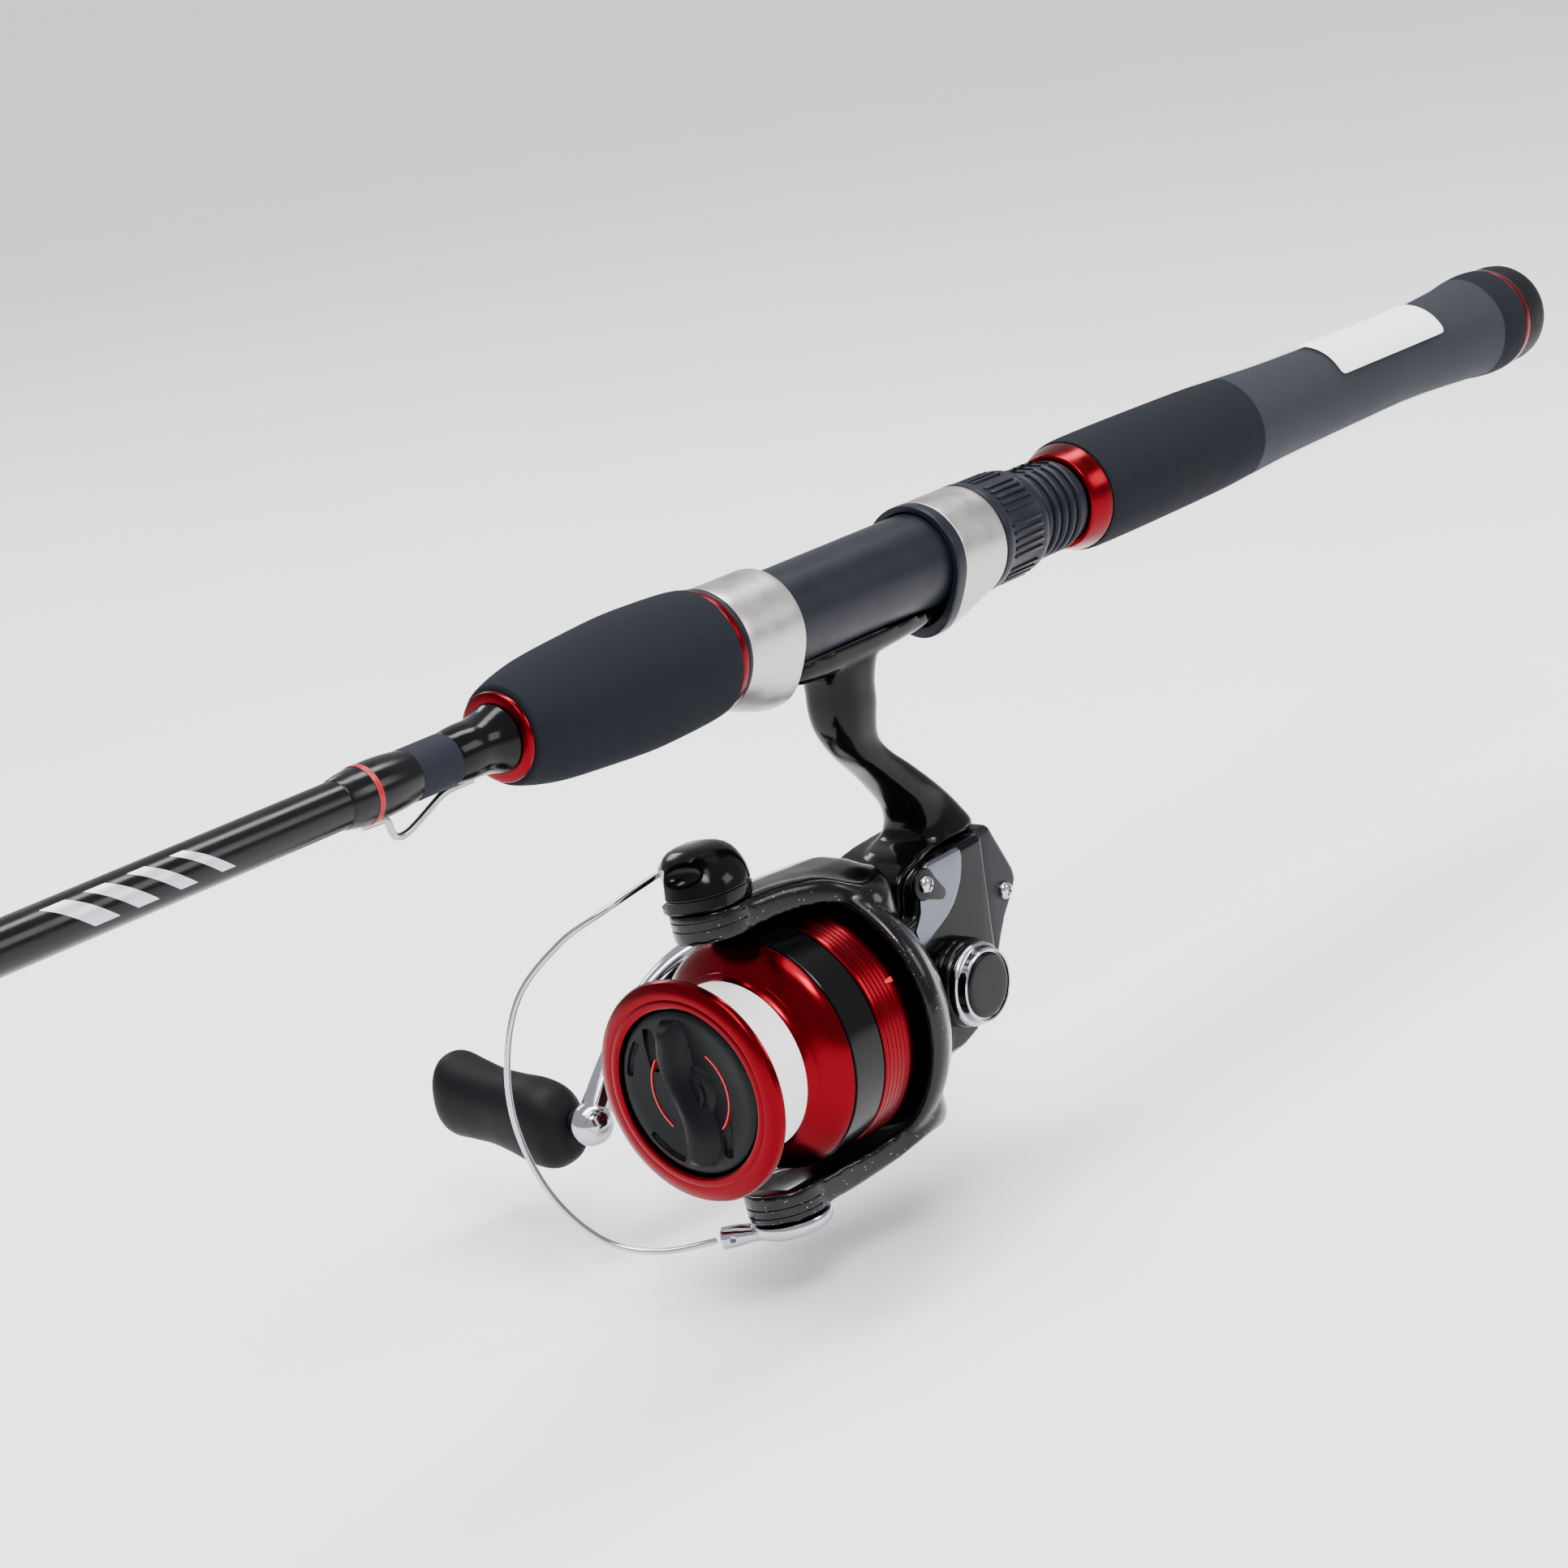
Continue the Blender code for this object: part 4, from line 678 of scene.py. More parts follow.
class BuildGuides(bpy.types.Operator):
    """Build the line guides, their bindings and the tip-top"""

    bl_idname = "rodreel.guides"
    bl_label = "Guides"

    def execute(self, context):
        coil = coil_tree()
        for number, (along, opening, drop, body) in enumerate(GUIDES, start=1):
            radius = blank_radius(along)
            frame_wire = pipe(f"guide_wire_{number}", refine(guide_path(along, opening, drop, radius), 6),
                              GUIDE_WIRE, ROD)
            dress(frame_wire, "steel_stainless_drawn", body, "steel", f"guide_frame_{number}")
            ring = guide_ring(f"guide_insert_{number}", along - GUIDE_LEAN * (drop - 0.75),
                              -(radius + drop), opening)
            dress(ring, "alumina_polished", body, "ceramic", f"guide_ring_{number}")
            dress(bound_foot(f"guide_binding_{number}", along + 2.6, along + 10.5, radius),
                  "thread_under_epoxy", body, "black_gloss")
            trim = grow(f"guide_trim_{number}", coil, {
                "Turns": 3.0, "Length": 0.9 * MM, "Radius": (radius + 0.12) * MM, "Wire": 0.15 * MM,
                "Steps": 48, "Material": SURFACES["thread_red"]}, rod_place(along + 11.2))
            dress(trim, "thread_red", body, "red_metal")
        start = TIP_STATION + 2.0
        tube = [(start, 0.0), (start, 0.9), (start + 0.4, 1.3), (start + 1, 1.5), (start + 11.6, 1.6),
                (start + 12, 1.5), (start + 12, 1.25), (start + 1.2, 1.25), (start + 1.2, 0.0)]
        dress(lathe("tip_sleeve", tube, ROD, steps=48), "steel_stainless_drawn", "tip_section", "steel",
              "tip_tube")
        wire = pipe("tip_wire", refine(guide_path(TIP_STATION + 5.0, 2.2, 4.6, 1.5), 6), TIP_WIRE, ROD)
        dress(wire, "steel_stainless_drawn", "tip_section", "steel", "tip_frame")
        ring = guide_ring("tip_insert", TIP_STATION + 5.0 - GUIDE_LEAN * 3.85, -6.1, 2.2)
        dress(ring, "alumina_polished", "tip_section", "ceramic", "tip_ring")
        return {'FINISHED'}


FOREGRIP = [(0.3, 8.9), (0.5, 9.5), (1.2, 10.0), (5, 11.1), (10, 12.1), (15, 12.7), (23, 13.3), (35, 14.0),
            (45, 13.9), (52, 13.6), (55.3, 13.25), (55.6, 13.1), (55.7, 12.8)]
REAR_GRIP = [(186.5, 12.2), (186.7, 12.5), (190, 12.8), (203, 12.9), (222, 12.8), (240, 12.6), (248, 12.3),
             (258, 11.9), (272, 11.4), (292, 11.1), (312, 10.9), (325, 10.8), (335, 11.0), (345, 11.4),
             (354, 11.9), (362, 12.4), (368, 13.1), (373, 13.4), (376.3, 13.3), (376.6, 13.1),
             (376.7, 12.8)]
RED_RINGS = [
    ("foregrip_ring_turned", "foregrip_ring", band(56.0, 58.0, 12.8)),
    ("rear_cone_turned", "rear_check_cone",
     [(180.6, 10.2), (180.9, 10.7), (182, 11.1), (185.6, 12.15), (186.1, 12.2), (186.3, 12.0)]),
    ("butt_ring_turned", "butt_ring", band(377.0, 379.2, 13.1))]
FILM_START, FILM_END = 249.0, 365.0
FILM_STAND, FILM_THICK = 0.42, 0.12        # off the foam, and its own wall
FILM_LIP, LIP_WIDTH = 0.16, 0.9            # the thicker edge where it was cut
LABEL_START, LABEL_END, LABEL_CORNER = 289.0, 339.0, 1.6
LABEL_LOW, LABEL_HIGH = 80, 155            # degrees round the grip


def grip_radius(along):
    """The rear grip's outer radius at a station."""
    for (a, ra), (b, rb) in zip(REAR_GRIP, REAR_GRIP[1:]):
        if a <= along <= b:
            return ra + (rb - ra) * (along - a) / (b - a)
    return REAR_GRIP[-1][1]


def film_radius(along, turn):
    """The film stands off the foam and is puckered where it shrank."""
    pucker = 0.05 * math.sin(along * 0.31 + 3 * turn) * math.sin(4 * turn + along * 0.11)
    pucker += 0.10 * math.sin(along * 0.13 + 2 * turn) * math.sin(2 * turn - along * 0.07)
    return grip_radius(along) + FILM_STAND + pucker


class BuildGrips(bpy.types.Operator):
    """Build the foam grips, their red rings, the film with its label and the butt cap"""

    bl_idname = "rodreel.grips"
    bl_label = "Grips and Butt"

    def execute(self, context):
        dress(lathe("foregrip_foam", refine(FOREGRIP, 4), ROD, bore=GRIP_BORE), "eva_foam_sanded",
              "rod_handle", "foam", "foregrip")
        dress(lathe("rear_grip_foam", refine(REAR_GRIP, 4), ROD, bore=GRIP_BORE), "eva_foam_sanded",
              "rod_handle", "foam", "rear_grip")
        for name, node, outline in RED_RINGS:
            ring = round_edges(lathe(name, outline, ROD, bore=GRIP_BORE), 0.12)
            dress(ring, "aluminium_anodised_red", "rod_handle", "red_metal", node)
        cap = [(379.5, 0.0), (379.5, 12.3), (379.9, 12.75), (382, 12.85), (385.5, 12.8), (387.4, 12.5),
               (388.6, 12.0), (389.4, 11.1), (389.8, 10.2), (389.75, 9.4), (389.3, 9.0), (389.3, 8.6),
               (389.75, 8.2), (390.0, 7.6), (390.0, 0.0)]
        cap_piece = lathe("butt_cap_moulded", cap, ROD)
        cut(cap_piece, lathe("cap_socket", [(370, 0.0), (370, GRIP_BORE), (385.2, GRIP_BORE), (385.2, 0.0)],
                             ROD))
        dress(cap_piece, "rubber_soft_touch", "rod_handle", "rubber", "butt_cap")
        rings = []
        steps = 116
        stations = [FILM_START + (FILM_END - FILM_START) * k / steps for k in range(steps + 1)]
        for lift, order in ((FILM_THICK, stations), (0.0, stations[::-1])):
            for along in order:
                lip = FILM_LIP if lift and along - FILM_START < LIP_WIDTH else 0.0
                rings.append([round_point(along, film_radius(along, t) + lift + lip, math.degrees(t))
                              for t in (TAU * k / 96 for k in range(96))])
        dress(skin("grip_film_shrunk", rings, ROD, looped=True), "pvc_shrink_film", "rod_handle", "film",
              "grip_film", sharp=70)
        rows = []
        for along in (LABEL_START, 289.2, 289.6, 290.1, 290.6, 296, 305, 315, 325, 334, 337.4, 337.9, 338.4,
                      338.8, LABEL_END):
            short = max(LABEL_CORNER - min(along - LABEL_START, LABEL_END - along), 0.0)
            turned_in = math.degrees((LABEL_CORNER - math.sqrt(LABEL_CORNER ** 2 - short ** 2)) / 11.5)
            rows.append((along, LABEL_LOW + turned_in, LABEL_HIGH - turned_in))
        label = wrapped_patch("grip_label_blank", rows, lambda a: grip_radius(a) + 0.75, 0.08)
        dress(label, "paper_label_coated", "rod_handle", "paper", sharp=60)
        return {'FINISHED'}


HOOD_RADIUS, HOOD_BORE, SEAT_RADIUS = 12.2, 10.8, 10.5
THREAD_LENGTH = 30.0


def hood(name, outer, inner):
    """A band round the rod with a teardrop pocket for the reel foot below."""
    rings = []
    for rows in (refine(outer, 3), refine(inner, 3)[::-1]):
        for along, radius, pocket in rows:
            rings.append([round_point(along, radius + pocket * max(0.0, -math.sin(t)) ** 4, math.degrees(t))
                          for t in (TAU * k / 96 for k in range(96))])
    return round_edges(skin(name, rings, ROD, looped=True), 0.18, 40)


class BuildSeat(bpy.types.Operator):
    """Build the reel seat with its screw thread, the two hoods, the collar and the ribbed nut"""

    bl_idname = "rodreel.seat"
    bl_label = "Reel Seat"

    def execute(self, context):
        look = context.scene.rod_look
        ring = lathe("seat_shoulder", band(58.3, 59.7, 12.5), ROD, bore=10.0)
        dress(round_edges(ring, 0.1), "nylon_black_satin", "rod_handle", "black_satin")
        barrel = lathe("seat_barrel", [(58.4, SEAT_RADIUS - 0.2), (147.0, SEAT_RADIUS), (148.2, 9.65),
                                       (180.0, 9.6), (180.3, 9.3)], ROD, bore=GRIP_BORE)
        turns = THREAD_LENGTH * MM / look.thread_pitch
        flat = slab("thread_flat", [(148.6, -3.4), (179, -3.4), (179, 3.4), (148.6, 3.4)], 9.0, 12.0, ROD,
                    upright=True)
        cut(barrel, flat)
        dress(barrel, "nylon_black_satin", "rod_handle", "black_satin", "reel_seat")
        thread = grow("seat_thread", coil_tree(), {
            "Turns": turns, "Length": THREAD_LENGTH * MM, "Radius": 9.62 * MM, "Wire": 0.86 * MM,
            "Steps": 72, "Material": SURFACES["nylon_black_satin"]}, rod_place(149.2))
        groove = slab("thread_way", [(147, -2.8), (182, -2.8), (182, 2.8), (147, 2.8)], 9.25, 14.0, ROD,
                      upright=True)
        dress(cut(thread, groove), "nylon_black_satin", "rod_handle", "black_satin", sharp=40)
        outer = [(60.0, 11.9, 0.0), (60.4, HOOD_RADIUS, 0.3), (66, HOOD_RADIUS, 2.6),
                 (72, HOOD_RADIUS, 4.2), (76.0, HOOD_RADIUS, 4.6), (76.6, 12.0, 4.5)]
        inner = [(60.0, HOOD_BORE, 0.0), (64.5, HOOD_BORE, 1.2), (66, HOOD_BORE, 2.2),
                 (76.6, HOOD_BORE, 3.5)]
        fixed = hood("fixed_hood_band", outer, inner)
        dress(fixed, "aluminium_satin_plated", "rod_handle", "satin_metal", "fixed_hood")
        outer = [(128.0, 12.0, 4.4), (128.5, HOOD_RADIUS, 4.6), (130.9, HOOD_RADIUS, 4.6)]
        inner = [(128.0, HOOD_BORE, 3.5), (130.9, HOOD_BORE, 3.5)]
        collar = hood("hood_collar_ring", outer, inner)
        dress(collar, "nylon_black_satin", "hood", "black_satin", "hood_collar")
        outer = [(131.2, HOOD_RADIUS, 4.6), (134, HOOD_RADIUS, 4.1), (137, HOOD_RADIUS, 3.4),
                 (142, HOOD_RADIUS, 1.7), (145.4, HOOD_RADIUS, 0.3), (146.0, 11.95, 0.0)]
        inner = [(131.2, HOOD_BORE, 3.5), (140.0, HOOD_BORE, 2.4), (143.5, HOOD_BORE, 1.0),
                 (146.0, HOOD_BORE, 0.0)]
        moving = hood("movable_hood_band", outer, inner)
        dress(moving, "aluminium_satin_plated", "hood", "satin_metal", "movable_hood")
        core = [(146.3, 11.7), (146.6, 12.1), (147.4, 12.25), (148.6, 12.2), (149.2, 11.9), (150, 11.75),
                (159.5, 11.5), (160.4, 11.75), (161.6, 11.8), (162.5, 11.6), (163.0, 11.1)]
        nut = lathe("seat_nut_core", core, ROD, bore=HOOD_BORE)
        dress(nut, "nylon_black_satin", "nut", "black_satin", "seat_nut")
        ribs = grow("seat_nut_ribs", ribs_tree(), {
            "Count": look.nut_ribs, "Group": 6, "Filled": 5, "Radius": 11.62 * MM,
            "Size": (0.9 * MM, 0.8 * MM, 10.2 * MM), "Material": SURFACES["nylon_black_satin"]},
            rod_place(154.9))
        dress(round_edges(ribs, 0.2, 40, 2), "nylon_black_satin", "nut", "black_satin")
        return {'FINISHED'}


# Reel: housing -----------------------------------------------------------------------------------

# Along and up
HOUSING = [(87.0, -70.2), (92.7, -69.3), (97.6, -68.5), (98.6, -67.4), (99.0, -64.5), (99.8, -62.0),
           (101.2, -60.5), (103.5, -59.4), (107.5, -58.6), (112, -58.1), (118, -57.9), (123.6, -57.8),
           (123.6, -91.2), (120.5, -94.3), (117.5, -96.8), (113.5, -99.2), (109, -100.6), (105, -101.2),
           (101, -101.3), (98.4, -100.4), (93, -99.6), (87.0, -99.0)]
TAIL = [(123.9, -57.8), (129.0, -57.9), (129.8, -58.5), (133.5, -65.0), (136.0, -69.4), (136.5, -71.2),
        (136.4, -72.8), (134.6, -75.6), (131.3, -79.5), (128.9, -83.7), (127.0, -87.6), (123.9, -90.6)]
BODY_LEFT, BODY_RIGHT, COVER_FACE = -7.6, 12.5, -12.6
WALL, AXLE_BORE = 2.6, 4.1
VOXEL = 0.5                    # grain of the melted castings
# Up, along, half the chord and half the width
STEM = [(-13.6, 99.6, 8.4, 6.6), (-16.4, 99.2, 7.2, 6.6), (-19.5, 98.9, 6.7, 6.5), (-23.0, 98.8, 6.6, 6.5),
        (-27.0, 98.8, 6.0, 6.0), (-31.0, 100.0, 5.3, 5.3), (-35.0, 103.2, 5.2, 5.4),
        (-39.5, 108.4, 5.5, 5.8), (-45.0, 114.1, 5.9, 6.6), (-49.3, 118.0, 6.4, 7.0),
        (-53.0, 120.2, 7.2, 7.8), (-56.0, 121.0, 8.4, 8.8), (-57.2, 120.0, 9.0, 9.0),
        (-58.6, 114.0, 9.1, 7.6), (-64.0, 109.0, 8.0, 6.8)]
# Along, half the width and depth below the rod's axis
FOOT = [(67.0, 4.0, 12.0), (72, 4.6, 12.4), (77, 5.0, 12.8), (82, 6.2, 14.2), (90, 7.0, 14.9),
        (98, 7.2, 15.2), (107, 7.2, 14.6), (116, 6.8, 13.9), (124, 6.0, 13.3), (128, 5.0, 12.8),
        (137, 4.2, 12.3), (142.6, 3.2, 11.9)]
SADDLE = SEAT_RADIUS + 0.6


def inset(outline, amount):
    """The same outline pulled in towards its own middle."""
    middle = Vector((sum(a for a, _ in outline), sum(b for _, b in outline))) / len(outline)
    moved = []
    for corner in outline:
        way = middle - Vector(corner)
        moved.append(tuple(Vector(corner) + way.normalized() * amount))
    return moved


def foot_ring(along, half, depth):
    """A section of the foot: hollow on top under the seat, rounded below."""
    points = []
    for k in range(13):
        across = half * (1 - k / 6)
        points.append((across, -math.sqrt(SADDLE ** 2 - across ** 2)))
    side = -math.sqrt(SADDLE ** 2 - half ** 2)
    for k in range(1, 12):
        t = math.pi * k / 12
        points.append((-half * math.cos(t), side - (depth + side) * math.sin(t) ** 0.5))
    return [Vector((along, across, up)) for across, up in points]


def crank_disc(name, low, high, radius, steps=96):
    """A plain disc or bore round the handle's axle."""
    return lathe(name, [(low, 0.0), (low, radius), (high, radius), (high, 0.0)], CRANK @ SIDEWAYS,
                 steps=steps)


class BuildHousing(bpy.types.Operator):
    """Build the reel's body, covers, silver flank, screws and switch"""

    bl_idname = "rodreel.housing"
    bl_label = "Reel Housing"

    def execute(self, context):
        core = round_edges(slab("reel_body_moulded", HOUSING, BODY_LEFT, BODY_RIGHT, ROD), 1.0, 60)
        stem = skin("stem", [oval((along, 0, up), X * chord, Y * wide, 64, 3.0)
                             for up, along, chord, wide in refine(STEM, 5)], ROD)
        foot = skin("foot", [foot_ring(*row) for row in refine(FOOT, 5)], ROD)
        boss = crank_disc("handle_boss", BODY_RIGHT - 1.0, 19.9, 8.5)
        body = melt(merge(core, stem, foot, boss), VOXEL, 10)
        hollow = slab("housing_hollow", inset(HOUSING, WALL), BODY_LEFT - 5.0, BODY_RIGHT - 2.0, ROD)
        trim = slab("cover_plane", [(80, -110), (130, -110), (130, -57.2), (80, -57.2)], -15,
                    BODY_LEFT + 0.05, ROD)
        bore = lathe("pinion_bore", [(80, 0.0), (80, 5.4), (92, 5.4), (92, 0.0)], REEL)
        cut(body, trim, hollow, crank_disc("axle_bore", 2.0, 30.0, AXLE_BORE), bore)
        dress(body, "abs_black_polished", "rod_handle", "black_gloss", "reel_body", sharp=40)

        cover = slab("side_cover_moulded", HOUSING, COVER_FACE, BODY_LEFT - 0.3, ROD)
        round_edges(cover, 1.5, 55, 5)
        cut(cover, slab("cover_hollow", inset(HOUSING, WALL), COVER_FACE + 2.2, 0.0, ROD))
        under = slab("cover_slope", [(60, 0), (150, 0), (150, -38.6), (60, -38.6)], -20, 12, SCALE)
        lean = Matrix.Translation((-0.285, (COVER_FACE + 1.4) * MM, -0.1014))
        under.data.transform(lean @ Matrix.Rotation(math.radians(-50), 4, 'X')
                             @ Matrix.Translation((-0.105, 0, 0)))
        cut(cover, under)
        shoulder = lathe("cap_boss", [(-17.0, 0.0), (-17.0, 8.7), (-16.6, 9.2), (-15.8, 9.5), (-15.2, 9.6),
                                      (-14.9, 9.35), (-14.5, 9.35), (-14.2, 9.6), (COVER_FACE + 1, 9.6),
                                      (COVER_FACE + 1, 0.0)], CRANK @ SIDEWAYS)
        combine(cover, shoulder)
        cut(cover, crank_disc("cover_bore", -30.0, 0.0, AXLE_BORE))
        dress(cover, "abs_black_polished", "rod_handle", "black_gloss", "side_cover", sharp=40)

        tail = round_edges(slab("rear_cover_moulded", TAIL, -10.4, 10.4, ROD), 2.2, 50, 5)
        dress(tail, "nylon_black_satin", "rod_handle", "black_satin", "rear_cover", sharp=30)

        flank = []
        face = COVER_FACE - 0.12
        for up, low, high, level in ((-58.1, 104.0, 114.6, face + 0.85), (-58.7, 102.2, 115.0, face + 0.2),
                                     (-60.0, 100.6, 115.0, face), (-62.5, 99.7, 114.5, face),
                                     (-65.0, 99.5, 113.6, face), (-67.3, 99.2, 112.0, face),
                                     (-69.0, 98.2, 110.5, face), (-70.8, 96.8, 107.9, face),
                                     (-72.0, 97.2, 105.2, face), (-73.4, 97.8, 102.0, face),
                                     (-74.6, 98.7, 99.3, face)):
            ring = [Vector((low + (high - low) * k / 8, level - 0.25, up)) for k in range(9)]
            ring += [Vector((high - (high - low) * k / 8, level + 0.3, up)) for k in range(9)]
            flank.append(ring)
        dress(round_edges(skin("silver_flank", flank, ROD), 0.1, 50), "lacquer_silver", "rod_handle",
              "satin_metal")
        surround = arc(101.2, -61.8, 3.5, 18, 278, 20) + arc(106.5, -65.4, 1.4, -104, 36, 10)
        keyhole = round_edges(slab("screw_surround", surround, face - 0.75, face + 0.4, ROD), 0.3, 50)
        dress(keyhole, "abs_black_polished", "rod_handle", "black_gloss")

        dome = [(-1.5, 0.0), (-1.45, 0.5), (-1.3, 1.1), (-1.0, 1.6), (-0.6, 1.9), (-0.2, 2.0), (0.0, 2.0),
                (0.0, 0.0)]
        head = lathe("screw_head", dome, SCALE @ SIDEWAYS, steps=48)
        for turn in (0, 90):
            cross = [(-1.15, -0.22), (1.15, -0.22), (1.15, 0.22), (-1.15, 0.22)]
            arm = slab("driver_arm", cross, -2.0, -0.75,
                       SCALE @ Matrix.Rotation(math.radians(30 + turn), 4, 'Y'))
            cut(head, arm)
        spots = bpy.data.meshes.new("screw_places")
        screw_spots = ((101.2, face - 0.75, -61.8), (119.4, COVER_FACE, -91.6), (131.4, -10.4, -73.4))
        spots.from_pydata([ROD @ Vector(spot) for spot in screw_spots], [], [])
        places = bpy.data.objects.new("screw_places", spots)
        context.scene.collection.objects.link(places)
        screws = grow("housing_screws", row_tree(), {"Places": places, "Sample": head,
                                                     "Material": SURFACES["zinc_chrome_plated"]})
        for helper in (places, head):
            bpy.data.objects.remove(helper, do_unlink=True)
        dress(screws, "zinc_chrome_plated", "rod_handle", "steel", "front_screw", "low_screw", "tail_screw")

        lever = [(102.4, -104.8), (103.0, -103.6), (104.0, -103.3), (108.5, -102.6), (113.0, -101.4),
                 (114.2, -102.0), (114.2, -102.8), (112.6, -104.2), (108, -105.4), (104.0, -106.2),
                 (102.9, -105.8)]
        switch = round_edges(slab("switch_lever", lever, -3.2, 3.2, ROD), 0.35, 30)
        dress(switch, "nylon_black_satin", "lever", "black_satin", "anti_reverse_lever")
        return {'FINISHED'}


# Reel: handle -------------------------------------------------------------------------------------

# Along, up, half the height and half the thickness
ARM = [(8.4, 0.0, 0.8, 2.6), (8.0, 0.0, 3.4, 4.6), (6.4, 0.05, 6.2, 5.6), (4.0, 0.1, 7.2, 5.8),
       (-2.0, 0.3, 7.5, 5.6), (-10.0, 0.6, 6.9, 4.6), (-19.0, 0.0, 6.1, 3.6), (-28.0, -2.6, 5.3, 3.0),
       (-36.5, -7.2, 4.6, 2.8), (-43.6, -12.8, 4.0, 2.8), (-48.4, -17.6, 3.6, 3.0),
       (-50.4, -19.8, 3.4, 3.0)]
BALL_AT, BALL_RADIUS = (-51.2, -20.8), 4.9
KNOB_START, KNOB_END = 56.0, 93.0


class BuildHandle(bpy.types.Operator):
    """Build the handle's collar, folding arm and knob, and the cap on the far side"""

    bl_idname = "rodreel.handle"
    bl_label = "Handle"

    def execute(self, context):
        side = CRANK @ SIDEWAYS
        outline = [(20.3, 7.3), (20.7, 7.8), (21.4, 8.0), (22.2, 8.0), (22.6, 7.7), (23.0, 7.7),
                   (23.4, 7.95), (26.0, 7.6), (30.0, 6.7), (34.0, 6.2), (40.2, 6.1), (40.8, 5.9),
                   (41.0, 5.6)]
        collar = lathe("handle_collar_turned", outline, side, bore=3.6)
        outline = [(-4.3, 40.6), (4.3, 40.6)] + arc(0, ARM_LEVEL, 4.3, 0, 180, 16)
        tongue = slab("fold_tongue", outline, -2.1, 2.1, CRANK, upright=True)
        combine(collar, tongue)
        dress(collar, "zinc_chrome_plated", "crank", "chrome", "handle_collar")

        rows = refine(ARM, 6)
        rings = []
        for i, (along, up, tall, thick) in enumerate(rows):
            before, after = rows[max(i - 1, 0)], rows[min(i + 1, len(rows) - 1)]
            run = Vector((after[0] - before[0], 0, after[1] - before[1])).normalized()
            normal = Vector((-run.z, 0, run.x))
            rings.append(oval((along, ARM_LEVEL, up), normal * tall, Y * thick, 40, 2.4))
        arm = skin("handle_arm_cast", rings, CRANK)
        ball = arc(ARM_LEVEL, 0, BALL_RADIUS, 180, 36, 18)
        ball += [(55.0, 2.7), (55.7, 2.5), (55.7, 1.8), (KNOB_END - 8, 1.8), (KNOB_END - 8, 0.0)]
        at_ball = CRANK @ Matrix.Translation((BALL_AT[0], 0, BALL_AT[1])) @ SIDEWAYS
        combine(arm, lathe("arm_ball", ball, at_ball, steps=72))
        outline = arc(0, ARM_LEVEL, 4.9, 90, 180, 9)
        outline += [(-4.9, 38.0), (13.0, 38.0), (13.0, ARM_LEVEL + 4.9)]
        slot = slab("fold_slot", outline, -2.4, 2.4, CRANK, upright=True)
        cut(arm, slot)
        pin = lathe("fold_pin", [(-8.0, 0.0), (-8.0, 1.6), (-7.6, 1.9), (7.6, 1.9), (8.0, 1.6), (8.0, 0.0)],
                    CRANK @ Matrix.Translation((0, ARM_LEVEL, 0.3)) @ UPRIGHT, steps=32)
        dress(arm, "zinc_chrome_plated", "crank_arm", "chrome", "handle_arm", sharp=40)
        dress(pin, "steel_stainless_drawn", "crank_arm", "steel")

        middle = (KNOB_START + KNOB_END) / 2
        knob_rows = [(KNOB_START, 3.0, 2.6), (KNOB_START + 0.3, 4.6, 3.9), (KNOB_START + 1.6, 6.6, 5.2),
                     (KNOB_START + 5, 9.0, 7.2), (KNOB_START + 10, 9.6, 7.6), (KNOB_START + 16, 8.9, 7.0),
                     (KNOB_START + 22, 8.5, 6.7), (KNOB_START + 28, 9.0, 7.0),
                     (KNOB_START + 32.5, 9.5, 7.3), (KNOB_END - 2.0, 8.9, 6.8), (KNOB_END - 0.8, 7.4, 5.6),
                     (KNOB_END - 0.4, 4.6, 3.4)]
        rings = []
        for across, tall, wide in refine(knob_rows, 6):
            lift = 0.16 * (across - middle)
            rings.append(oval((BALL_AT[0], across, BALL_AT[1] + lift), X * wide, Z * tall, 64, 2.3))
        knob = skin("handle_knob_moulded", rings, CRANK)
        cut(knob, lathe("knob_bore", [(KNOB_START - 5, 0.0), (KNOB_START - 5, 2.15), (KNOB_END - 7.5, 2.15),
                                      (KNOB_END - 7.5, 0.0)], at_ball, steps=48))
        dress(knob, "rubber_soft_touch", "knob", "rubber", "handle_knob", sharp=45)

        cap = [(-20.2, 0.0), (-20.2, 7.25), (-20.6, 7.35), (-20.7, 7.6), (-20.5, 7.95), (-19.9, 8.15),
               (-19.0, 8.2), (-18.7, 8.35), (-18.5, 8.8), (-18.1, 9.05), (-17.6, 9.05), (-17.3, 8.8),
               (-17.3, 0.0)]
        dress(lathe("screw_cap_turned", cap, side), "zinc_chrome_plated", "cap", "chrome", "screw_cap")
        disc = [(-20.85, 0.0), (-20.87, 3.0), (-20.84, 5.8), (-20.7, 6.6), (-20.4, 7.0), (-20.3, 7.0),
                (-20.3, 0.0)]
        dress(lathe("screw_cap_disc", refine(disc[:5], 4) + disc[5:], side), "abs_black_polished", "cap",
              "black_gloss", "cap_insert")
        return {'FINISHED'}


# Reel: rotor and bail ------------------------------------------------------------------------------

# Along, inner and outer radius, half the width, and how far it bends with the cup
YOKE = [(97.0, 24.0, 26.4, 9.0, 1.0), (94.0, 24.0, 29.6, 12.0, 1.0), (90.0, 23.6, 31.6, 17.0, 1.0),
        (85.0, 26.6, 32.2, 20.0, 1.0), (81.5, 27.6, 32.4, 19.6, 1.0), (78.6, 27.8, 32.6, 16.6, 0.95),
        (76.0, 27.8, 32.8, 13.4, 0.8), (72.0, 27.6, 33.0, 11.4, 0.6), (65.0, 27.3, 33.3, 9.6, 0.3),
        (PIVOT, 27.0, 33.2, 8.2, 0.0)]
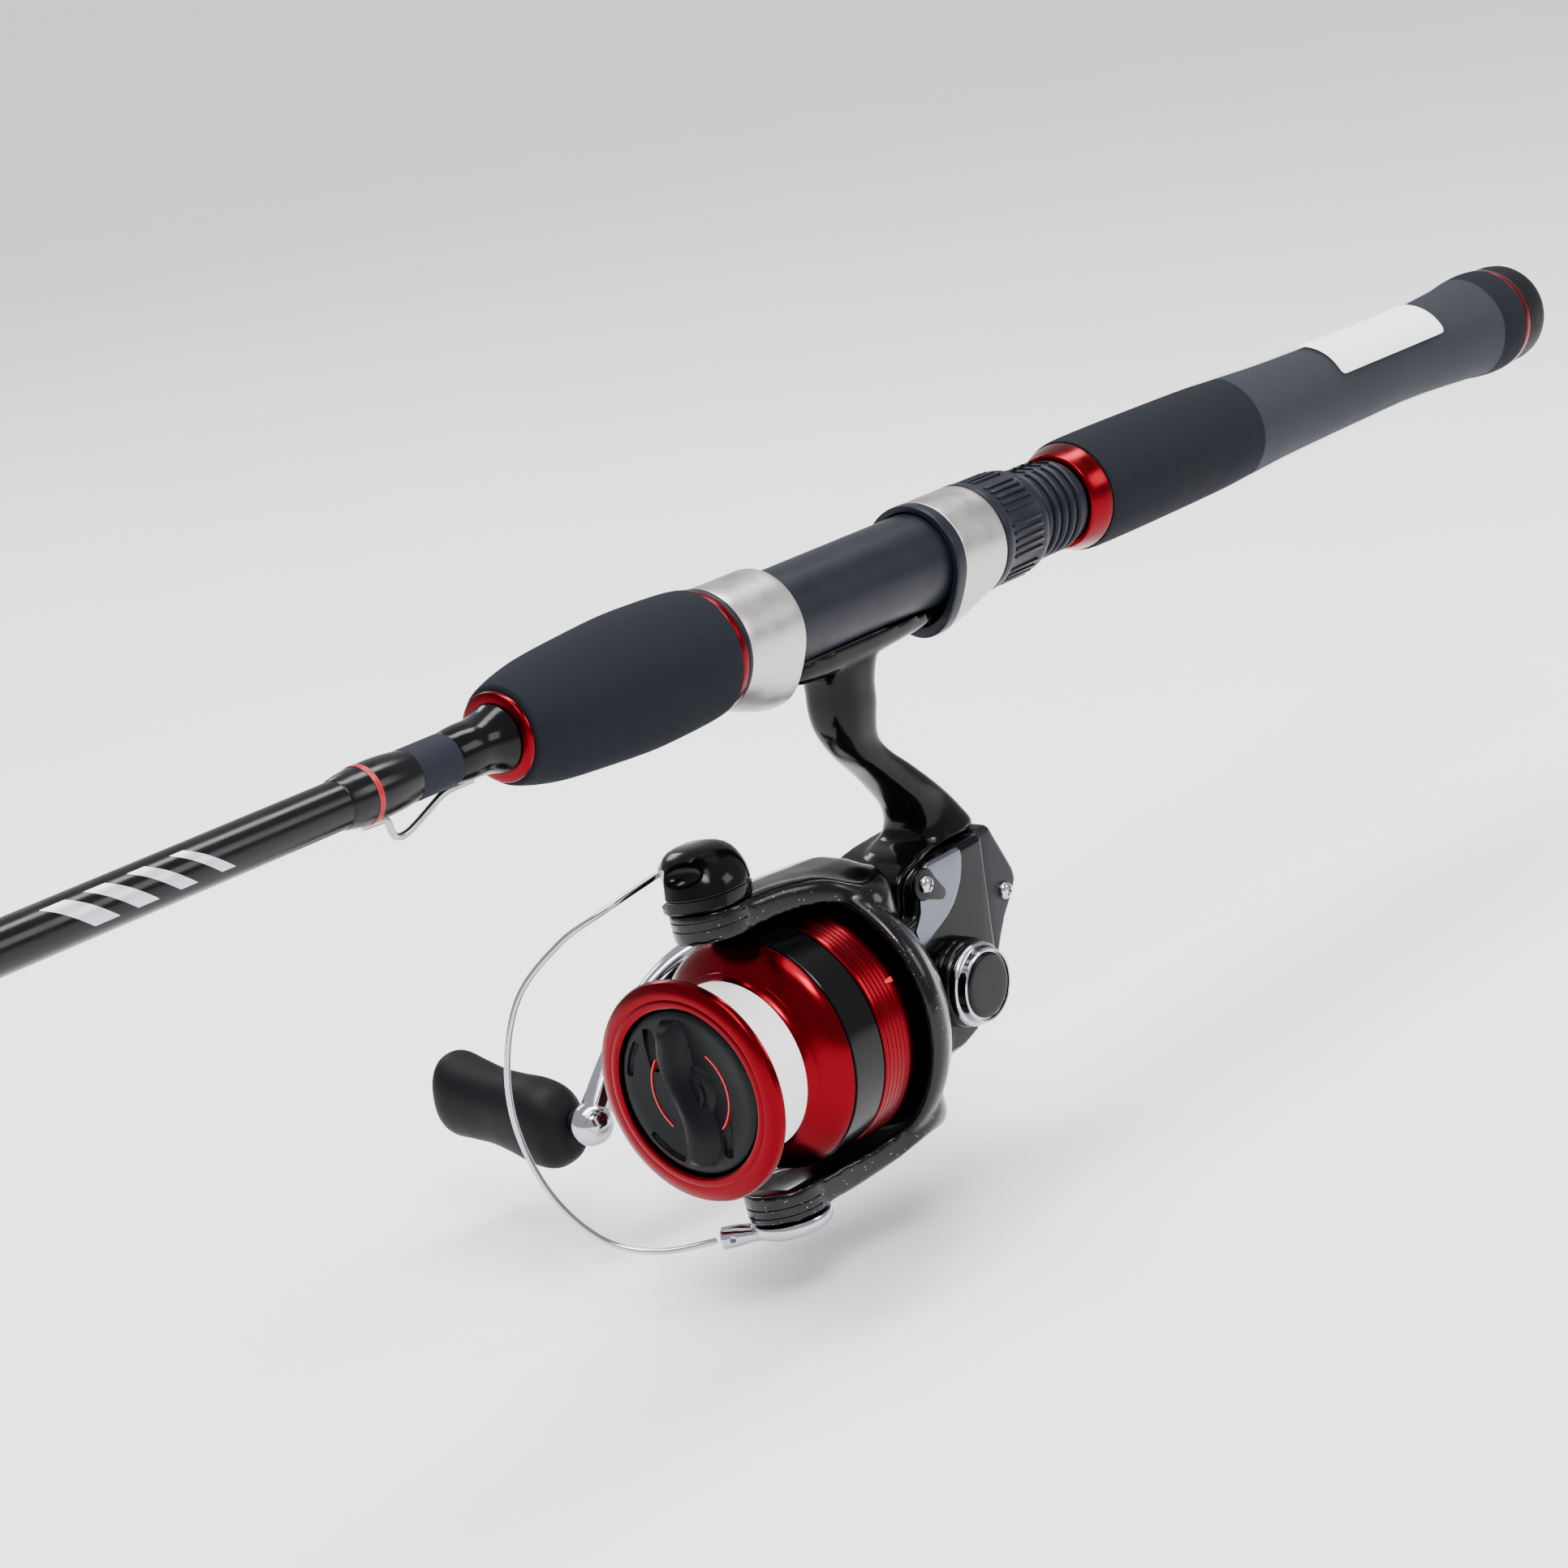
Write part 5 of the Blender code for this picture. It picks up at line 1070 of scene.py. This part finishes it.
# Along and radius
CUP = [(77.4, 28.2), (77.2, 28.8), (77.3, 29.5), (78.0, 30.3), (79.2, 30.6), (81.0, 30.5), (84.6, 28.6),
       (88.4, 25.6), (91.0, 23.4), (91.0, 21.8), (85.6, 21.8), (85.6, 3.9), (80.4, 3.9), (80.4, 7.4),
       (82.8, 7.4), (82.8, 28.2)]


def yoke_ring(along, inner, outer, half, bend, side):
    """A section across one arm of the rotor, bent round with the cup, with a channel along its back."""
    rim = [(-half, inner), (-half * 0.5, inner), (0, inner), (half * 0.5, inner), (half, inner),
           (half, (inner + outer) / 2), (half, outer - 1.7), (half - 0.7, outer - 0.7),
           (half - 2.0, outer - 0.15), (half - 3.2, outer - 0.1), (half - 4.0, outer - 0.55),
           (half * 0.35, outer - 0.3), (0, outer), (-half * 0.35, outer - 0.3), (-half + 4.0, outer - 0.55),
           (-half + 3.2, outer - 0.1), (-half + 2.0, outer - 0.15), (-half + 0.7, outer - 0.7),
           (-half, outer - 1.7), (-half, (inner + outer) / 2)]
    return [Vector((along, across, side * (up - bend * (up - math.sqrt(up ** 2 - across ** 2)))))
            for across, up in rim]


# Inner works, which keep the frame's own shapes
HIDDEN_FINISHES = {"rotor_nut": "steel_stainless_drawn", "pinion": "brass_machined",
                   "drive_gear": "zinc_as_cast", "handle_axle": "steel_stainless_drawn",
                   "main_shaft": "steel_stainless_drawn", "left_bearing": "steel_stainless_drawn",
                   "right_bearing": "steel_stainless_drawn", "drag_washers": "felt_oiled"}


def pivot_way(side):
    """Out along the bail's pivot on the upper arm (1) or the lower one (-1)."""
    return ROTOR @ Matrix.Translation((PIVOT, 0, 0)) @ Matrix.Rotation(math.radians(-90 * side), 4, 'Y')


class BuildRotor(bpy.types.Operator):
    """Build the rotor with its two arms"""

    bl_idname = "rodreel.rotor"
    bl_label = "Rotor"

    def execute(self, context):
        rotor = lathe("rotor_painted", CUP, ROTOR, looped=True, steps=144)
        for side, label in ((1, "upper"), (-1, "lower")):
            rings = [yoke_ring(*row, side) for row in refine(YOKE, 6)]
            post = lathe(f"{label}_post", [(26.7, 0.0), (26.7, 8.6), (33.2, 8.6), (33.2, 0.0)],
                         pivot_way(side))
            merge(rotor, skin(f"{label}_yoke", rings, ROTOR), post)
        melt(rotor, VOXEL, 14)
        outline = [(50.0, 0.0), (50.0, 27.2), (75.0, 27.6), (77.0, 28.0), (82.6, 28.0), (82.6, 7.6),
                   (80.2, 7.6), (80.2, 0.0)]
        room = lathe("skirt_room", outline, ROTOR, steps=144)
        bore = lathe("sleeve_bore", [(78, 0.0), (78, 4.7), (93, 4.7), (93, 0.0)], ROTOR)
        seams = [lathe("seam", [(level, 8.2), (level, 12), (level + 0.35, 12), (level + 0.35, 8.2)],
                       pivot_way(side), looped=True, steps=72) for side in (1, -1)
                 for level in (29.6, 31.4)]
        cut(rotor, room, bore)
        front = slab("seam_front", [(40, -14), (PIVOT + 1, -14), (PIVOT + 1, 14), (40, 14)], -50, 50, ROTOR,
                     upright=True)
        for seam in seams:
            keep = front.copy()
            keep.data = front.data.copy()
            context.scene.collection.objects.link(keep)
            cut(rotor, combine(seam, keep, operation='INTERSECT'))
        bpy.data.objects.remove(front, do_unlink=True)
        dress(rotor, "paint_black_flake", "rotor_head", "black_gloss", "rotor", sharp=45)
        for node, finish in HIDDEN_FINISHES.items():
            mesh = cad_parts[node].data
            mesh.materials.clear()
            mesh.materials.append(SURFACES[finish])
        return {'FINISHED'}


def bail_point(up, reach):
    """A point on the closed bail's plane, out from the pivots."""
    return Vector((PIVOT - reach * math.cos(BAIL_ANGLE), reach * math.sin(BAIL_ANGLE), up))


class BuildBail(bpy.types.Operator):
    """Build the roller arm, roller, wire holder, bail wire and cam arm"""

    bl_idname = "rodreel.bail"
    bl_label = "Bail"

    def execute(self, context):
        rows = [(33.4, 54.4, 0.0, 8.4, 8.4), (33.5, 54.4, 0.0, 8.7, 8.7), (33.9, 54.4, 0.0, 8.9, 8.9),
                (36.0, 54.6, 0.0, 9.0, 8.9), (36.2, 54.6, 0.0, 8.7, 8.6), (36.5, 54.6, 0.0, 8.7, 8.6),
                (36.7, 54.7, 0.0, 9.0, 8.8), (38.0, 54.9, 0.1, 8.9, 8.8), (39.4, 55.1, 0.3, 8.8, 8.5),
                (40.8, 55.3, 0.6, 8.5, 8.0), (42.2, 55.6, 1.0, 8.0, 7.3), (43.3, 55.8, 1.4, 7.4, 6.6),
                (44.2, 55.9, 1.8, 6.5, 5.8), (44.9, 55.9, 2.1, 5.2, 4.7), (45.3, 55.9, 2.3, 3.6, 3.2)]
        rings = [oval((along, across, up), X * long_half, Y * wide, 72, 2.35)
                 for up, along, across, long_half, wide in rows]
        head = skin("roller_arm_moulded", rings, ROTOR)
        room = slab("roller_room", [(40, 34.9), (68, 34.9), (68, 42.5), (40, 42.5)], 3.6, 14, ROTOR)
        dome = [[Vector((-1, 0, 0))]]
        for k in range(1, 16):
            t = math.pi * k / 16
            dome.append(oval((-math.cos(t), 0, 0), Y * math.sin(t), Z * math.sin(t), 48))
        dome.append([Vector((1, 0, 0))])
        place = Matrix.Translation((47.6, -1.4, 41.2)) @ Matrix.Rotation(math.radians(14), 4, 'Z')
        shape = Matrix.Rotation(math.radians(28), 4, 'Y') @ Matrix.Diagonal((2.6, 4.7, 2.8, 1))
        window = skin("window", dome, ROTOR @ place @ shape)
        cut(head, room, window)
        dress(head, "abs_black_polished", "bail", "black_gloss", "roller_arm", sharp=28)

        roller_way = ROTOR @ Matrix.Translation((57.4, 0, 38.8)) @ SIDEWAYS
        roller = [(4.0, 2.9), (4.1, 3.15), (4.4, 3.2), (4.8, 3.0), (5.4, 2.7), (6.4, 2.55), (7.4, 2.7),
                  (8.0, 3.0), (8.4, 3.2), (8.7, 3.15), (8.8, 2.9)]
        dress(lathe("line_roller_turned", roller, roller_way, bore=1.45, steps=64), "zinc_chrome_plated",
              "roller", "chrome", "line_roller")
        outline = [(54.0, 37.6), (54.8, 36.4), (56.0, 35.6), (60.6, 35.6), (62.4, 36.8), (63.4, 38.6),
                   (63.2, 40.6), (62.6, 42.0), (61.2, 43.2), (59.4, 43.8), (57.4, 43.6), (55.6, 42.8),
                   (54.2, 41.8), (53.6, 41.0)]
        holder = round_edges(slab("wire_holder_plate", outline, 9.3, 11.1, ROTOR), 0.35, 30)
        pin = [(3.9, 0.0), (3.9, 1.0), (4.1, 1.15), (10.0, 1.15), (10.0, 0.0)]
        combine(holder, lathe("roller_pin", pin, roller_way, steps=40))
        dress(holder, "aluminium_satin_plated", "bail", "satin_metal", "wire_holder")

        bends = ((36.6, 21.0), (32.0, 31.8), (23.0, 42.8), (9.0, 49.0), (-5.3, 50.3), (-20.0, 46.6),
                 (-31.0, 38.6), (-35.6, 28.0), (-35.9, 16.4))
        wire = [(54.8, 12.2, 39.9)] + [tuple(bail_point(*bend)) for bend in bends]
        dress(pipe("bail_wire_bent", refine(wire, 12), 0.68, ROTOR, sides=20), "zinc_chrome_plated", "bail",
              "chrome", "bail_wire")
        outline = [(33.6, 0.0), (33.6, 8.0), (33.8, 8.4), (34.2, 8.6), (35.4, 8.6), (36.2, 8.1),
                   (36.9, 7.0), (37.3, 5.4), (37.4, 3.4), (37.4, 0.0)]
        cam = lathe("cam_arm_cast", outline, pivot_way(-1))
        ahead = (bail_point(0, 1) - bail_point(0, 0)).normalized()
        across = Vector((-ahead.y, ahead.x, 0))
        sections = refine([(3.0, 4.6, 1.9), (5.0, 4.2, 2.0), (8.0, 3.2, 1.9), (9.8, 2.6, 2.0),
                           (11.4, 2.5, 2.25), (14.6, 2.4, 2.35), (15.1, 2.1, 2.1), (15.2, 1.4, 1.4)], 4)
        neck = skin("cam_neck", [oval(bail_point(-35.7, reach), across * wide, Z * tall, 40)
                                 for reach, wide, tall in sections], ROTOR)
        combine(cam, neck)
        mark = lathe("cam_hole", [(-1.6, 0.0), (-1.6, 0.75), (2.6, 0.75), (2.6, 0.0)],
                     ROTOR @ Matrix.Translation(bail_point(-35.7, 12.6) + across * 2.6) @
                     across.to_track_quat('X', 'Z').to_matrix().to_4x4(), steps=32)
        cut(cam, mark)
        dress(cam, "zinc_chrome_plated", "bail", "chrome", "cam_arm", sharp=35)
        return {'FINISHED'}


# Reel: spool and drag ---------------------------------------------------------------------------------

SPOOL = [(34.5, 17.9), (34.3, 18.2), (34.2, 18.8), (34.3, 19.6), (34.42, 19.8), (34.36, 20.2), (34.5, 21.2),
         (34.8, 22.3), (35.2, 23.1), (35.8, 23.45), (36.4, 23.5), (36.9, 23.2), (37.3, 22.6), (38.0, 20.8),
         (38.7, 19.2), (39.4, 18.1), (40.2, 17.65), (41, 17.6), (50.4, 17.6), (51.2, 17.9), (51.9, 18.7),
         (52.2, 19.2), (52.3, 19.25), (53.0, 20.5), (54.2, 22.4), (55.2, 23.6), (55.9, 24.2), (56.5, 24.6),
         (57.0, 24.8), (57.25, 24.75), (57.3, 24.3), (66.8, 24.3), (66.85, 25.0), (67.1, 25.25)]
SKIRT_END = [(75.4, 25.75), (75.8, 25.7), (76.0, 25.4), (76.0, 24.2), (75.8, 24.0), (58.0, 22.6),
             (53.6, 14.8), (53.6, 3.0), (48.0, 3.0), (48.0, 14.8), (43.8, 14.8), (43.4, 16.2), (37.4, 16.2),
             (36.8, 17.6)]


class BuildSpool(bpy.types.Operator):
    """Build the turned spool with its white wrap and dark band"""

    bl_idname = "rodreel.spool"
    bl_label = "Spool"

    def execute(self, context):
        look = context.scene.rod_look
        ridges = []
        for k in range(look.skirt_lines):
            start = 67.8 + 7.2 * k / look.skirt_lines
            level = 25.3 + 0.055 * (start - 67.0)
            ridges += [(start, level), (start + 0.10, level - 0.16), (start + 0.26, level - 0.16),
                       (start + 0.36, level)]
        dress(lathe("spool_turned", SPOOL + ridges + SKIRT_END, REEL, looped=True, steps=160),
              "aluminium_anodised_red", "spool_set", "red_metal", "spool", sharp=30)
        dress(lathe("arbor_wrap", [(41.0, 17.9), (41.2, 18.15), (50.1, 18.15), (50.3, 17.9)], REEL,
                    bore=17.66, steps=128), "paper_label_coated", "spool_set", "paper", "spool_wrap")
        dress(lathe("skirt_band_printed", [(57.5, 24.9), (57.7, 25.06), (66.3, 25.06), (66.5, 24.9)], REEL,
                    bore=24.4, steps=160), "abs_black_polished", "spool_set", "black_gloss", "skirt_band")
        tick = [(72.9, 151.2, 151.8), (73.2, 150.8, 152.2), (74.9, 150.2, 152.8), (75.2, 150.3, 152.7)]
        dress(wrapped_patch("skirt_tick", tick, lambda a: 25.25 + 0.055 * (a - 67), 0.12, REEL),
              "enamel_red", "spool_set", "red_metal")
        return {'FINISHED'}


ARC_FRONT, ARC_BACK, ARC_HALF = 35.3, 36.4, 0.15      # the enamel's face, its root and half its width
BAR_BEND = 1.2                                        # how far the bar swings to each side


def bar_outline(reach, width):
    """The knob's bar seen from the front: waisted, bent like an S, and flared at both ends."""
    near, far = [], []
    for k in range(25):
        t = -1 + k / 12
        up = reach * t
        middle = BAR_BEND * math.sin(math.pi * t)
        half = width * (1.0 - 0.30 * math.cos(math.pi * t * 0.9)) * math.sqrt(max(1.0 - 0.72 * t ** 6, 0.0))
        near.append((middle - half, up))
        far.append((middle + half, up))
    return near + far[::-1]


class BuildDragKnob(bpy.types.Operator):
    """Build the drag knob with its curved bar, pockets and red arcs"""

    bl_idname = "rodreel.drag_knob"
    bl_label = "Drag Knob"

    def execute(self, context):
        look = context.scene.rod_look
        tilted = REEL @ Matrix.Rotation(ROTOR_TILT, 4, 'X')
        disc = [(34.3, 0.0), (34.3, 3.6), (34.6, 4.1), (35.2, 4.3), (35.25, 5.4), (35.5, 5.8), (35.9, 6.2),
                (35.7, 9.0), (35.1, 12.6), (34.8, 14.4), (34.7, 15.6), (34.8, 16.6), (35.2, 17.2),
                (35.8, 17.35), (36.3, 17.2), (36.8, 16.4), (36.9, 15.8), (42.9, 15.8), (43.3, 15.4),
                (43.4, 14.6), (43.4, 0.0)]
        knob = lathe("drag_knob_moulded", disc, REEL, steps=128)

        levels = [(36.6, 15.6, 4.6), (35.2, 15.5, 3.6), (34.0, 15.2, 2.7), (32.8, 14.7, 2.0),
                  (31.7, 14.0, 1.45), (31.0, 13.2, 1.0), (30.75, 12.4, 0.6)]
        rings = [[Vector((along, across, up)) for across, up in bar_outline(reach, width)]
                 for along, reach, width in refine(levels, 3)]
        for side in (1, -1):
            slot = [(35.2, side * 6.6, side * 13.4), (34.9, side * 7.4, side * 9.0),
                    (35.2, side * 7.8, side * 4.6)]
            cut(knob, pipe("bar_slot", refine(slot, 6), 1.35, tilted, sides=16))
        for low, high in ((16, 46), (-34, -68)):
            rim = [(35.0, across, up) for across, up in arc(0, 0, 15.1, low, high, 10)]
            cut(knob, pipe("rim_slot", rim, 0.8, tilted, sides=12))
        combine(knob, skin("bar", rings, tilted))
        well = lathe("knob_well", [(36.8, 0.0), (36.8, 2.4), (50, 2.4), (50, 0.0)], REEL, steps=48)
        cut(knob, well)
        dress(knob, "nylon_charcoal_grained", "drag", "black_satin", "drag_knob", sharp=30)
        middle = look.arc_radius / MM
        for name, low, high in (("drag_arc_left", -46, 44), ("drag_arc_right", 132, 232)):
            edges = [[Vector((along, across, up)) for across, up in arc(0, 0, middle + half, low, high, 32)]
                     for along, half in ((ARC_FRONT, -ARC_HALF), (ARC_FRONT, ARC_HALF),
                                         (ARC_BACK, ARC_HALF), (ARC_BACK, -ARC_HALF))]
            dress(skin(name, list(zip(*edges)), tilted), "enamel_red", "drag", "red_metal")
        return {'FINISHED'}


# Studio -------------------------------------------------------------------------------------------

CAMERA_AT = Vector((-0.851295, -0.470682, 0.165794))
CAMERA_RIGHT = Vector((0.62141, -0.77064, -0.14131))
CAMERA_UP = Vector((0.29624, 0.06414, 0.95296))
LENS, SENSOR = 83.85, 36.0
FLOOR_REACH, FLOOR_GAP = 14.0, 0.012      # metres; the reel hangs just clear of the floor
SUN_POWER, SUN_SPREAD = 2.0, math.radians(40)
# Name, place, aim, width, height and power
LAMPS = [("key", (-1.0, -0.8, 1.25), (-0.28, 0.0, -0.03), 0.5, 0.5, 20.0),
         ("top_strip", (-0.22, 0.12, 0.95), (-0.25, 0.0, 0.0), 1.4, 0.28, 22.0),
         ("side_fill", (0.45, -1.3, 0.70), (-0.25, 0.0, -0.05), 0.6, 0.6, 8.0),
         ("back_rim", (0.10, 1.3, 0.80), (-0.28, 0.0, -0.05), 0.6, 0.3, 7.0)]


class BuildStudio(bpy.types.Operator):
    """Set a pale floor, soft lights, a plain surround and the camera"""

    bl_idname = "rodreel.studio"
    bl_label = "Studio"

    def execute(self, context):
        look = context.scene.rod_look
        reach, level = FLOOR_REACH, CAD_BOX[0][2] - FLOOR_GAP
        work = bmesh.new()
        corners = [work.verts.new((x, y, level)) for x, y in
                   ((-reach, -reach), (reach, -reach), (reach, reach), (-reach, reach))]
        work.faces.new(corners)
        mesh = bpy.data.meshes.new("studio_floor")
        work.to_mesh(mesh)
        work.free()
        floor = bpy.data.objects.new("studio_floor", mesh)
        context.scene.collection.objects.link(floor)
        # Matte sprayed board: near white, with the slightest mottle.
        mesh.materials.append(surface("board_sprayed_white", "#f4f4f5", "#f7f7f8", 0.85, cloud=60,
                                      grain=1.5, relief=0.01))
        world = bpy.data.worlds.new("surround")
        world.use_nodes = True
        shade = world.node_tree.nodes["Background"]
        shade.inputs["Color"].default_value = tint("#f6f7f9")
        shade.inputs["Strength"].default_value = look.surround
        context.scene.world = world
        for name, place, aim, wide, tall, power in LAMPS:
            lamp = bpy.data.lights.new(name, 'AREA')
            lamp.shape = 'RECTANGLE'
            lamp.size = wide
            lamp.size_y = tall
            lamp.energy = power * look.lamp_power
            holder = bpy.data.objects.new(name, lamp)
            holder.location = place
            holder.rotation_euler = (Vector(aim) - Vector(place)).to_track_quat('-Z', 'Y').to_euler()
            context.scene.collection.objects.link(holder)
        sky = bpy.data.lights.new("overhead", 'SUN')
        sky.energy = SUN_POWER * look.lamp_power
        sky.angle = SUN_SPREAD
        above = bpy.data.objects.new("overhead", sky)
        above.rotation_euler = (math.radians(14), math.radians(-18), 0)
        context.scene.collection.objects.link(above)
        lens = bpy.data.cameras.new("view")
        lens.lens = LENS
        lens.sensor_width = SENSOR
        lens.clip_start = 0.01
        camera = bpy.data.objects.new("view", lens)
        back = CAMERA_RIGHT.cross(CAMERA_UP).normalized()
        camera.matrix_world = Matrix([(CAMERA_RIGHT.x, CAMERA_UP.x, back.x, CAMERA_AT.x),
                                      (CAMERA_RIGHT.y, CAMERA_UP.y, back.y, CAMERA_AT.y),
                                      (CAMERA_RIGHT.z, CAMERA_UP.z, back.z, CAMERA_AT.z), (0, 0, 0, 1)])
        context.scene.collection.objects.link(camera)
        context.scene.camera = camera
        return {'FINISHED'}


# Settings, panel and registration --------------------------------------------------------------------

class RodLook(bpy.types.PropertyGroup):
    """Sizes and colours a user may change before building"""

    foam: bpy.props.StringProperty(name="Foam", description="Colour of the grips, as a hex code",
                                   default="#121419")
    red: bpy.props.StringProperty(name="Red Metal",
                                  description="Colour of the anodised pieces, as a hex code",
                                  default="#5f0812")
    grey: bpy.props.StringProperty(name="Grey Metal", description="Colour of the hoods, as a hex code",
                                   default="#b0aba6")
    black: bpy.props.StringProperty(name="Black Plastic", description="Colour of the reel, as a hex code",
                                    default="#040405")
    thread_pitch: bpy.props.FloatProperty(name="Thread Pitch", description="Spacing of the seat's thread",
                                          default=3.0 * MM, min=1.5 * MM, max=6.0 * MM, subtype='DISTANCE',
                                          unit='LENGTH')
    nut_ribs: bpy.props.IntProperty(name="Nut Ribs", description="Ribs round the seat nut, before gaps",
                                    default=42, min=12, max=72)
    skirt_lines: bpy.props.IntProperty(name="Skirt Lines",
                                       description="Fine grooves turned round the skirt", default=6, min=1,
                                       max=12)
    stripes: bpy.props.IntProperty(name="Blank Stripes", description="Plain slanted stripes on the blank",
                                   default=4, min=0, max=6)
    arc_radius: bpy.props.FloatProperty(name="Arc Radius", description="Radius of the drag knob's red arcs",
                                        default=10.0 * MM, min=6.5 * MM, max=11.0 * MM, subtype='DISTANCE',
                                        unit='LENGTH')
    surround: bpy.props.FloatProperty(name="Surround", description="Brightness of the plain surround",
                                      default=0.75, min=0.0, max=3.0)
    lamp_power: bpy.props.FloatProperty(name="Lamp Power", description="Share of the lamps' usual power",
                                        default=1.0, min=0.1, max=5.0, subtype='FACTOR')


BUILDERS = (BuildBlank, BuildGuides, BuildGrips, BuildSeat, BuildHousing, BuildHandle, BuildRotor,
            BuildBail, BuildSpool, BuildDragKnob, BuildStudio)


class RodPanel(bpy.types.Panel):
    """Lists the settings and the builders"""

    bl_idname = "VIEW3D_PT_rodreel"
    bl_label = "Rod and Reel"
    bl_space_type = 'VIEW_3D'
    bl_region_type = 'UI'
    bl_category = "Rod and Reel"

    def draw(self, context):
        for setting in RodLook.__annotations__:
            self.layout.prop(context.scene.rod_look, setting)
        for builder in BUILDERS:
            self.layout.operator(builder.bl_idname)


def register():
    for item in (RodLook, *BUILDERS, RodPanel):
        bpy.utils.register_class(item)
    bpy.types.Scene.rod_look = bpy.props.PointerProperty(type=RodLook)


def unregister():
    del bpy.types.Scene.rod_look
    for item in (RodPanel, *reversed(BUILDERS), RodLook):
        bpy.utils.unregister_class(item)


def main():
    register()
    make_surfaces(bpy.context.scene.rod_look)
    for builder in BUILDERS:
        group, name = builder.bl_idname.split(".")
        getattr(getattr(bpy.ops, group), name)()


if __name__ == "__main__":
    main()
